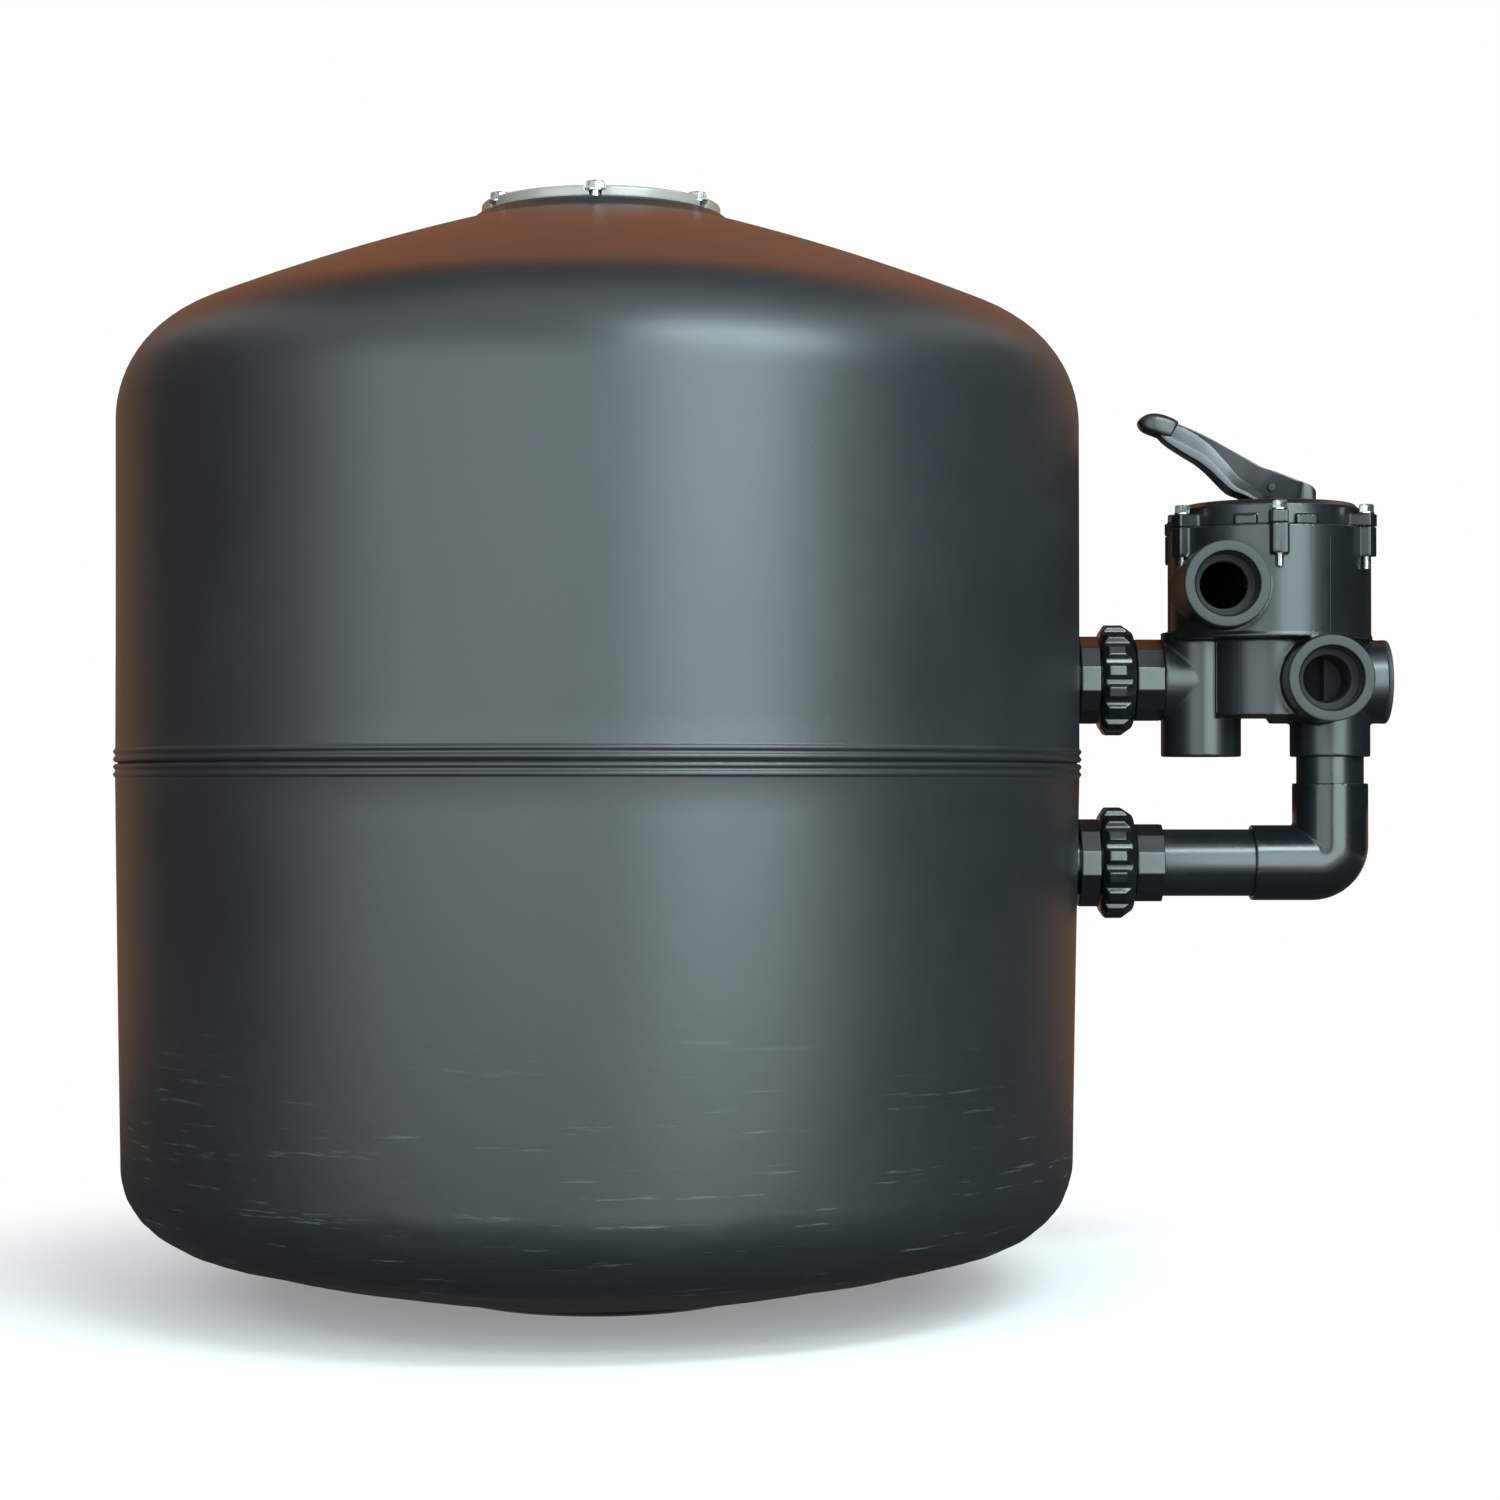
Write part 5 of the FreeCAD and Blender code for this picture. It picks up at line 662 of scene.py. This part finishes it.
screw = hex_screw("cover_screw", "cover_bolts", SCREW_HEAD, SCREW_RADIUS, SCREW_FLATS, SCREW_PITCH, SCREW_THREAD)
washer = flat_washer("washer", "cover_washers", SCREW_RADIUS, WASHER_RADIUS, 0.3 * MM, 0.5 * MM)
for name, mesh, node in (("cover_screws", screw, "cover_bolts"), ("cover_screw_washers", washer, "cover_washers")):
    place(name, ring_of(name, mesh, (VALVE_X, 0, 0), SCREW_CIRCLE, SCREW_COUNT, SCREW_PHASE), steel,
          "tank", "stainless", node)

# Stem, thrust washer and pin. The round stem comes up through the cover to a rounded eye,
# and the lever turns on a blackened steel pin above a slippery acetal washer.
acetal = mottled("turned_acetal", 4 * MM, 3.0, ("#26292a", "#353939"), (0.3, 0.45), {"IOR": 1.48})
black_steel = mottled("blackened_steel", 2 * MM, 3.0, ("#1c1d1e", "#303232"), (0.3, 0.5), {"Metallic": 1.0})
place("stem_shaft", softened("stem_shaft", "stem", passes=2), inner_plastic, "stem", "inner_plastic", "stem")
dress(acetal, "thrust_washer")
PIN_RADIUS = 4 * MM
PIN_EASE = 0.7 * MM
pin_low, pin_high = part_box("handle_pin")
pin_length = pin_high.y - pin_low.y
PIN = Vector(((pin_low.x + pin_high.x) / 2, 0, (pin_low.z + pin_high.z) / 2))
pin_outline = eased([(0, 0, 0), (0, PIN_RADIUS, PIN_EASE), (pin_length, PIN_RADIUS, PIN_EASE), (pin_length, 0, 0)])
place("lever_pin", turned("lever_pin", pin_outline, (PIN.x, pin_low.y, PIN.z), (0, 1, 0), 48), black_steel,
      "stem", "stainless", "handle_pin")

# Handle. A cam lever of glass-filled nylon, hollow below. Its cheeks flare outwards in a
# concave band that sweeps down to the hub's lower edge, and a blunt knob caps its end.
ROW_STEPS = 4
BAND_STEPS = 7
KNOB_STEPS = 40
KNOB_SQUARENESS = 0.55
HOLLOW_ROWS = (1, 11)
UNDERCUT = 0.28
LEVER_WALL = 3.6
THIN_WALL = 2.2
HUB_HALF_WIDTH = 13
LEVER_WEB = 4.2
LEAST_CAP = 2.0
LIP_RISE = 0.25
LIP_EASE = (0.8, 0.6)
# The rounded upper edge: mm down from the top and mm in from the side.
CAP_EDGE = ((0, 1.6), (0.12, 0.8), (0.5, 0.25), (1.3, 0))
# Each row, in mm from the pin: top x, z and bottom x, z, half width above and below,
# and the shares of the height where the sloping band starts and ends.
LEVER_ROWS = ((-112, 66, -113.5, 58, 5, 8, 0.06, 0.72), (-102, 66, -106, 51, 6.5, 11, 0.06, 0.72),
              (-90, 62.5, -98, 43, 7, 12.5, 0.06, 0.74), (-72, 55, -83, 33, 7.6, 13.2, 0.1, 0.7),
              (-54, 45.5, -68, 24, 9.6, 14.2, 0.22, 0.7), (-41, 37.5, -57, 15, 11.4, 15.6, 0.36, 0.76),
              (-30, 31, -48, 6, 12.8, 17, 0.46, 0.8), (-19, 24.5, -38, -3, 13.4, 18.6, 0.55, 0.85),
              (-8, 18.5, -26, -8, 13.6, 19.8, 0.6, 0.88), (3, 15, -12, -13.6, 13.7, 19, 0.74, 0.93),
              (15, 10.5, 8, -13.8, 13.8, 17.5, 0.8, 0.95), (27, 6, 25, -13.8, 14.5, 16.5, 0.85, 0.97),
              (29, 5.5, 28.5, -13.8, 17.6, 17.6, 0.85, 0.97), (38, 1.5, 38, -13.8, 17.6, 17.6, 0.85, 0.97),
              (42, -3, 42, -13.8, 15.5, 15.5, 0.85, 0.97))
# Each row of the knob, in mm from the pin: top x, z, bottom x, z and half width.
KNOB_ROWS = ((-86.2, 62.5, -95, 46.8, 12.5), (-87.5, 64.2, -96.5, 46, 13.8), (-93, 67.2, -101.5, 47.2, 14.6),
             (-101, 70, -108, 49.8, 15), (-109, 71.2, -114.5, 52.2, 14.6), (-116, 70.2, -120, 55, 13),
             (-121.5, 67, -123.2, 59, 9.5), (-124, 64, -124.3, 61.5, 5))


def lever_section(row, hollow):
    """Outline points (x, y, z in mm) of one cut through the lever, near half first."""
    top_x, top_z, low_x, low_z, narrow, wide, start, end = row
    height = math.hypot(top_x - low_x, top_z - low_z)
    start = max(start, LEAST_CAP / height)
    above = narrow + UNDERCUT * start * height * (1 if wide > narrow + 1 else 0)
    outer = [(0.0, 0.0)] + [(down / height, above - inwards) for down, inwards in CAP_EDGE]
    for step in range(BAND_STEPS + 1):
        share = step / BAND_STEPS
        outer.append((start + (end - start) * share, narrow + (wide - narrow) * share ** 1.1))
    ease, corner = LIP_EASE
    outer += [(end + ease / height, wide + LIP_RISE), (1 - ease / height, wide + LIP_RISE), (1.0, wide - corner)]
    web = LEVER_WEB / height if hollow else 1.0
    middle = (start + end) / 2
    upper_wall = LEVER_WALL if narrow < HUB_HALF_WIDTH else THIN_WALL
    inner = [(1.0, wide - LEVER_WALL), (max(web, end), wide - LEVER_WALL),
             (max(web, middle), max(THIN_WALL, (narrow + wide) / 2 - LEVER_WALL)),
             (web, max(LEAST_CAP, narrow - upper_wall)), (web, 0.0)]
    half = outer + inner
    points = []
    for side, cut in ((-1, half), (1, half[-2:0:-1])):
        for share, width in cut:
            points.append(Vector((top_x + (low_x - top_x) * share, side * width, top_z + (low_z - top_z) * share)))
    return points


def knob_section(row):
    """Outline points (x, y, z in mm) of one cut through the knob, a rounded square."""
    top_x, top_z, low_x, low_z, width = row
    middle = Vector(((top_x + low_x) / 2, 0, (top_z + low_z) / 2))
    upwards = Vector(((top_x - low_x) / 2, 0, (top_z - low_z) / 2))
    points = []
    for step in range(KNOB_STEPS):
        angle = 2 * math.pi * step / KNOB_STEPS
        across, up = (math.copysign(abs(part) ** KNOB_SQUARENESS, part) for part in (math.cos(angle), math.sin(angle)))
        points.append(middle + Vector((0, width, 0)) * across + upwards * up)
    return points


def blended_row(rows, step):
    """A row between the given ones, on a smooth curve through them."""
    index = min(step // ROW_STEPS, len(rows) - 2)
    t = step / ROW_STEPS - index
    r0, r1 = rows[max(index - 1, 0)], rows[index]
    r2, r3 = rows[index + 1], rows[min(index + 2, len(rows) - 1)]
    return [0.5 * (2 * b + (c - a) * t + (2 * a - 5 * b + 4 * c - d) * t * t + (3 * b - a - 3 * c + d) * t ** 3)
            for a, b, c, d in zip(r0, r1, r2, r3)]


def skinned(name, sections):
    """A closed mesh through equal sections given in mm from the pin, capped at both ends."""
    mesh = bpy.data.meshes.new(name)
    form = bmesh.new()
    rings = [[form.verts.new(PIN + point * MM) for point in section] for section in sections]
    for first, second in zip(rings, rings[1:]):
        for index in range(len(first)):
            after = (index + 1) % len(first)
            form.faces.new((first[index], first[after], second[after], second[index]))
    form.faces.new(rings[0][::-1])
    form.faces.new(rings[-1])
    bmesh.ops.remove_doubles(form, verts=form.verts, dist=0.001 * MM)
    bmesh.ops.recalc_face_normals(form, faces=form.faces)
    form.to_mesh(mesh)
    form.free()
    mesh.shade_smooth()
    mesh.set_sharp_from_angle(angle=math.radians(28))
    return mesh


lever_cuts = [lever_section(blended_row(LEVER_ROWS, i), HOLLOW_ROWS[0] <= i / ROW_STEPS <= HOLLOW_ROWS[1])
              for i in range(ROW_STEPS * (len(LEVER_ROWS) - 1) + 1)]
knob_cuts = [knob_section(blended_row(KNOB_ROWS, i)) for i in range(ROW_STEPS * (len(KNOB_ROWS) - 1) + 1)]

# Nylon, moulded: black, with a smooth satin skin and faint flow marks.
nylon = mottled("moulded_nylon", 20 * MM, 4.0, ("#101213", "#1a1c1e"), (0.26, 0.36), {"IOR": 1.53},
                (0.15, 0.2 * MM))
place("lever", skinned("lever", lever_cuts), nylon, "handle", "handle_plastic", "handle")
place("knob", skinned("knob", knob_cuts), nylon, "handle", "handle_plastic", "handle_grip")

# Manway lid. A disc of half clear, warm grey polycarbonate with a low dome, locked on the neck
# by six stainless screws with washers that sit in open recesses, over a flat rubber gasket.
LID_SCREW_RADIUS = 5 * MM
LID_SCREW_FLATS = 17 * MM
LID_SCREW_HEAD = 7 * MM
LID_SCREW_CIRCLE = 106 * MM
LID_SCREW_COUNT = 6
LID_WASHER_RADIUS = 10 * MM
lid_plastic = mottled("moulded_polycarbonate", 30 * MM, 4.0, ("#a89e96", "#c6bdb4"), (0.16, 0.3),
                      {"IOR": 1.58, "Transmission Weight": 0.4})
place("lid", softened("lid", "manway_lid", voxel=1.2 * MM, passes=2, keep=0.35), lid_plastic,
      "tank", "clear_lid", "manway_lid")
dress(rubber, "lid_gasket")
lid_screw = hex_screw("lid_screw", "lid_bolts", LID_SCREW_HEAD, LID_SCREW_RADIUS, LID_SCREW_FLATS)
lid_washer = flat_washer("lid_washer", "lid_washers", LID_SCREW_RADIUS, LID_WASHER_RADIUS, 0.4 * MM, 0.6 * MM)
for name, mesh, node in (("lid_screws", lid_screw, "lid_bolts"), ("lid_screw_washers", lid_washer, "lid_washers")):
    place(name, ring_of(name, mesh, (0, 0, 0), LID_SCREW_CIRCLE, LID_SCREW_COUNT, 0), steel,
          "tank", "stainless", node)

# Camera. A short telephoto lens about 2.8 m in front of the tank, level with its middle and
# tipped up by less than a degree, as in the photograph.
PHOTO_SIZE = 1500
FOCAL_PIXELS = 3000.0
HORIZON_ROW = 784.4
SENSOR = 36.0
CAMERA_PLACE = (0.141, -2.839, 0.4775)
camera_data = bpy.data.cameras.new("camera")
camera_data.sensor_width = SENSOR
camera_data.lens = SENSOR * FOCAL_PIXELS / PHOTO_SIZE
camera = bpy.data.objects.new("camera", camera_data)
camera.location = CAMERA_PLACE
camera.rotation_euler = (math.radians(90) + math.atan((HORIZON_ROW - PHOTO_SIZE / 2) / FOCAL_PIXELS), 0, 0)
bpy.context.scene.collection.objects.link(camera)
bpy.context.scene.camera = camera

# Lights. Two large soft panels in front, the left one wider, give the tank its broad sheen,
# and a narrow one high on the right lights its shoulder, the pipes and the valve.
def panel(name, location, target, width, height, power, code):
    """A rectangular lamp of a size in metres and a power in watts, turned to a target."""
    light = bpy.data.lights.new(name, "AREA")
    light.shape = "RECTANGLE"
    light.size = width
    light.size_y = height
    light.energy = power
    light.color = linear(code)[:3]
    lamp = bpy.data.objects.new(name, light)
    lamp.location = location
    lamp.rotation_euler = (Vector(target) - Vector(location)).to_track_quat("-Z", "Y").to_euler()
    bpy.context.scene.collection.objects.link(lamp)


panel("window_panel", (1.5, -2.8, 1.1), (0, 0, 0.5), 2.0, 2.2, 100, "#e3fbff")
panel("fill_panel", (-1.4, -3.0, 1.2), (0, 0, 0.5), 3.4, 2.2, 78, "#e8faff")
panel("strip_panel", (1.15, -1.6, 2.0), (0.6, 0, 0.5), 1.5, 0.45, 44, "#dff6ff")

# Surroundings. Boards that only reflections see stand for the room that the real tank mirrors:
# brown behind and above, dark at the sides, grey in front, with a dark floor that turns bright
# towards the light.
def board(name, location, target, width, height, code, strength):
    """An evenly glowing board of a size in metres, turned to a target."""
    mesh = bpy.data.meshes.new(name)
    form = bmesh.new()
    bmesh.ops.create_grid(form, x_segments=1, y_segments=1, size=0.5)
    bmesh.ops.scale(form, vec=(width, height, 1), verts=form.verts)
    form.to_mesh(mesh)
    form.free()
    wall = bpy.data.objects.new(name, mesh)
    wall.location = location
    wall.rotation_euler = (Vector(target) - Vector(location)).to_track_quat("Z", "Y").to_euler()
    bpy.context.scene.collection.objects.link(wall)
    wall.visible_camera = False
    wall.visible_diffuse = False
    wall.visible_shadow = False
    paint = new_material(name)
    light = add_node(paint, "ShaderNodeEmission", {"Color": linear(code), "Strength": strength})
    add_node(paint, "ShaderNodeOutputMaterial", None, {"Surface": light.outputs[0]})
    mesh.materials.append(paint)


board("low_left_wall", (-1.4, 1.3, 0.8), (-1.4, 0, 0.8), 3.2, 1.7, "#93705a", 1.5)
board("low_right_wall", (1.35, 1.3, 0.8), (1.35, 0, 0.8), 2.3, 1.7, "#93705a", 1.3)
board("high_back_wall", (0, 2.6, 3.4), (0, 0.2, 0.8), 6.0, 2.8, "#9c5a2a", 2.3)
board("pipe_card", (0.72, 0.14, 0.63), (0.72, 0, 0.63), 0.5, 0.36, "#4a3a2e", 0.7)
board("ceiling", (0, 0.6, 4.2), (0, 0.5, 0.8), 6.0, 2.6, "#3c352c", 1.0)
board("left_wall", (-2.4, 0.4, 1.2), (0, 0.4, 1.2), 3.2, 2.4, "#4c443e", 0.9)
board("right_wall", (2.4, 0.3, 1.2), (0, 0.3, 1.2), 3.6, 2.4, "#2a2624", 0.6)
board("front_wall", (0, -5.0, 2.0), (0, 0, 2.0), 12.0, 5.0, "#6a6d70", 1.0)
board("floor_card", (0, 0.6, 0.002), (0, 0.6, 1), 4.4, 2.9, "#4a4c4c", 1.0)
board("bright_floor", (0.5, -3.0, 0.003), (0.5, -3.0, 1), 4.2, 3.0, "#f2fcff", 2.2)

# Floor. A pale sheet that keeps a soft shadow under the part and runs out to pure white; near the part its glow is
# dimmed, a painted shade round the foot and in the base's reflection. Other rays than the camera's and reflections
# meet a plain grey floor.
def outward_rays(material):
    """1 for the rays that go out to the camera, through glass or into reflections, else 0."""
    rays = add_node(material, "ShaderNodeLightPath")
    seen = add_node(material, "ShaderNodeMath", {"operation": "ADD"},
                    {0: rays.outputs["Is Camera Ray"], 1: rays.outputs["Is Transmission Ray"]})
    return add_node(material, "ShaderNodeMath", {"operation": "ADD", "use_clamp": True},
                    {0: seen.outputs[0], 1: rays.outputs["Is Glossy Ray"]}).outputs[0]


floor_mesh = bpy.data.meshes.new("floor")
floor_form = bmesh.new()
bmesh.ops.create_grid(floor_form, x_segments=1, y_segments=1, size=30.0)
floor_form.to_mesh(floor_mesh)
floor_form.free()
floor = bpy.data.objects.new("floor", floor_mesh)
bpy.context.scene.collection.objects.link(floor)
floor_sheet = new_material("pale_floor_sheet")
matte = add_node(floor_sheet, "ShaderNodeBsdfDiffuse", {"Color": linear("#dcdcdc")})
shade = add_node(floor_sheet, "ShaderNodeBsdfDiffuse", {"Color": linear("#8c8c8c")})
floor_coords = add_node(floor_sheet, "ShaderNodeTexCoord").outputs["Object"]
away = add_node(floor_sheet, "ShaderNodeVectorMath", {"operation": "LENGTH"}, {0: floor_coords}).outputs["Value"]
# Painted shade: the floor's glow is weaker close to the part and rises with distance.
glow_dimmed_near_part = add_node(floor_sheet, "ShaderNodeMapRange", {"From Min": 0.3, "From Max": 0.9, "To Min": 0.25, "To Max": 0.8},
                {"Value": away}).outputs[0]
glow = add_node(floor_sheet, "ShaderNodeEmission", {"Color": linear("#ffffff")}, {"Strength": glow_dimmed_near_part})
sheet = add_node(floor_sheet, "ShaderNodeAddShader", None, {0: matte.outputs[0], 1: glow.outputs[0]})
white = add_node(floor_sheet, "ShaderNodeEmission", {"Color": linear("#ffffff"), "Strength": 1.0})
fade = add_node(floor_sheet, "ShaderNodeMapRange",
                {"interpolation_type": "SMOOTHSTEP", "From Min": 0.55, "From Max": 1.1}, {"Value": away}).outputs[0]
open_sheet = add_node(floor_sheet, "ShaderNodeMixShader", None, {0: fade, 1: sheet.outputs[0], 2: white.outputs[0]})
sheet_mix = add_node(floor_sheet, "ShaderNodeMixShader", None,
                     {0: outward_rays(floor_sheet), 1: shade.outputs[0], 2: open_sheet.outputs[0]})
add_node(floor_sheet, "ShaderNodeOutputMaterial", None, {"Surface": sheet_mix.outputs[0]})
floor_mesh.materials.append(floor_sheet)

# World. White to the camera, through the lid and in every reflection, and otherwise a dim
# neutral fill that keeps the shaded sides open.
world = bpy.data.worlds.new("studio")
world.use_nodes = True
world.node_tree.nodes.clear()
bpy.context.scene.world = world
room = add_node(world, "ShaderNodeBackground", {"Color": linear("#b9bbbd"), "Strength": 0.35})
white = add_node(world, "ShaderNodeBackground", {"Color": linear("#ffffff"), "Strength": 1.0})
room_mix = add_node(world, "ShaderNodeMixShader", None,
                    {0: outward_rays(world), 1: room.outputs[0], 2: white.outputs[0]})
add_node(world, "ShaderNodeOutputWorld", None, {"Surface": room_mix.outputs[0]})

bpy.context.scene.view_settings.view_transform = "Standard"
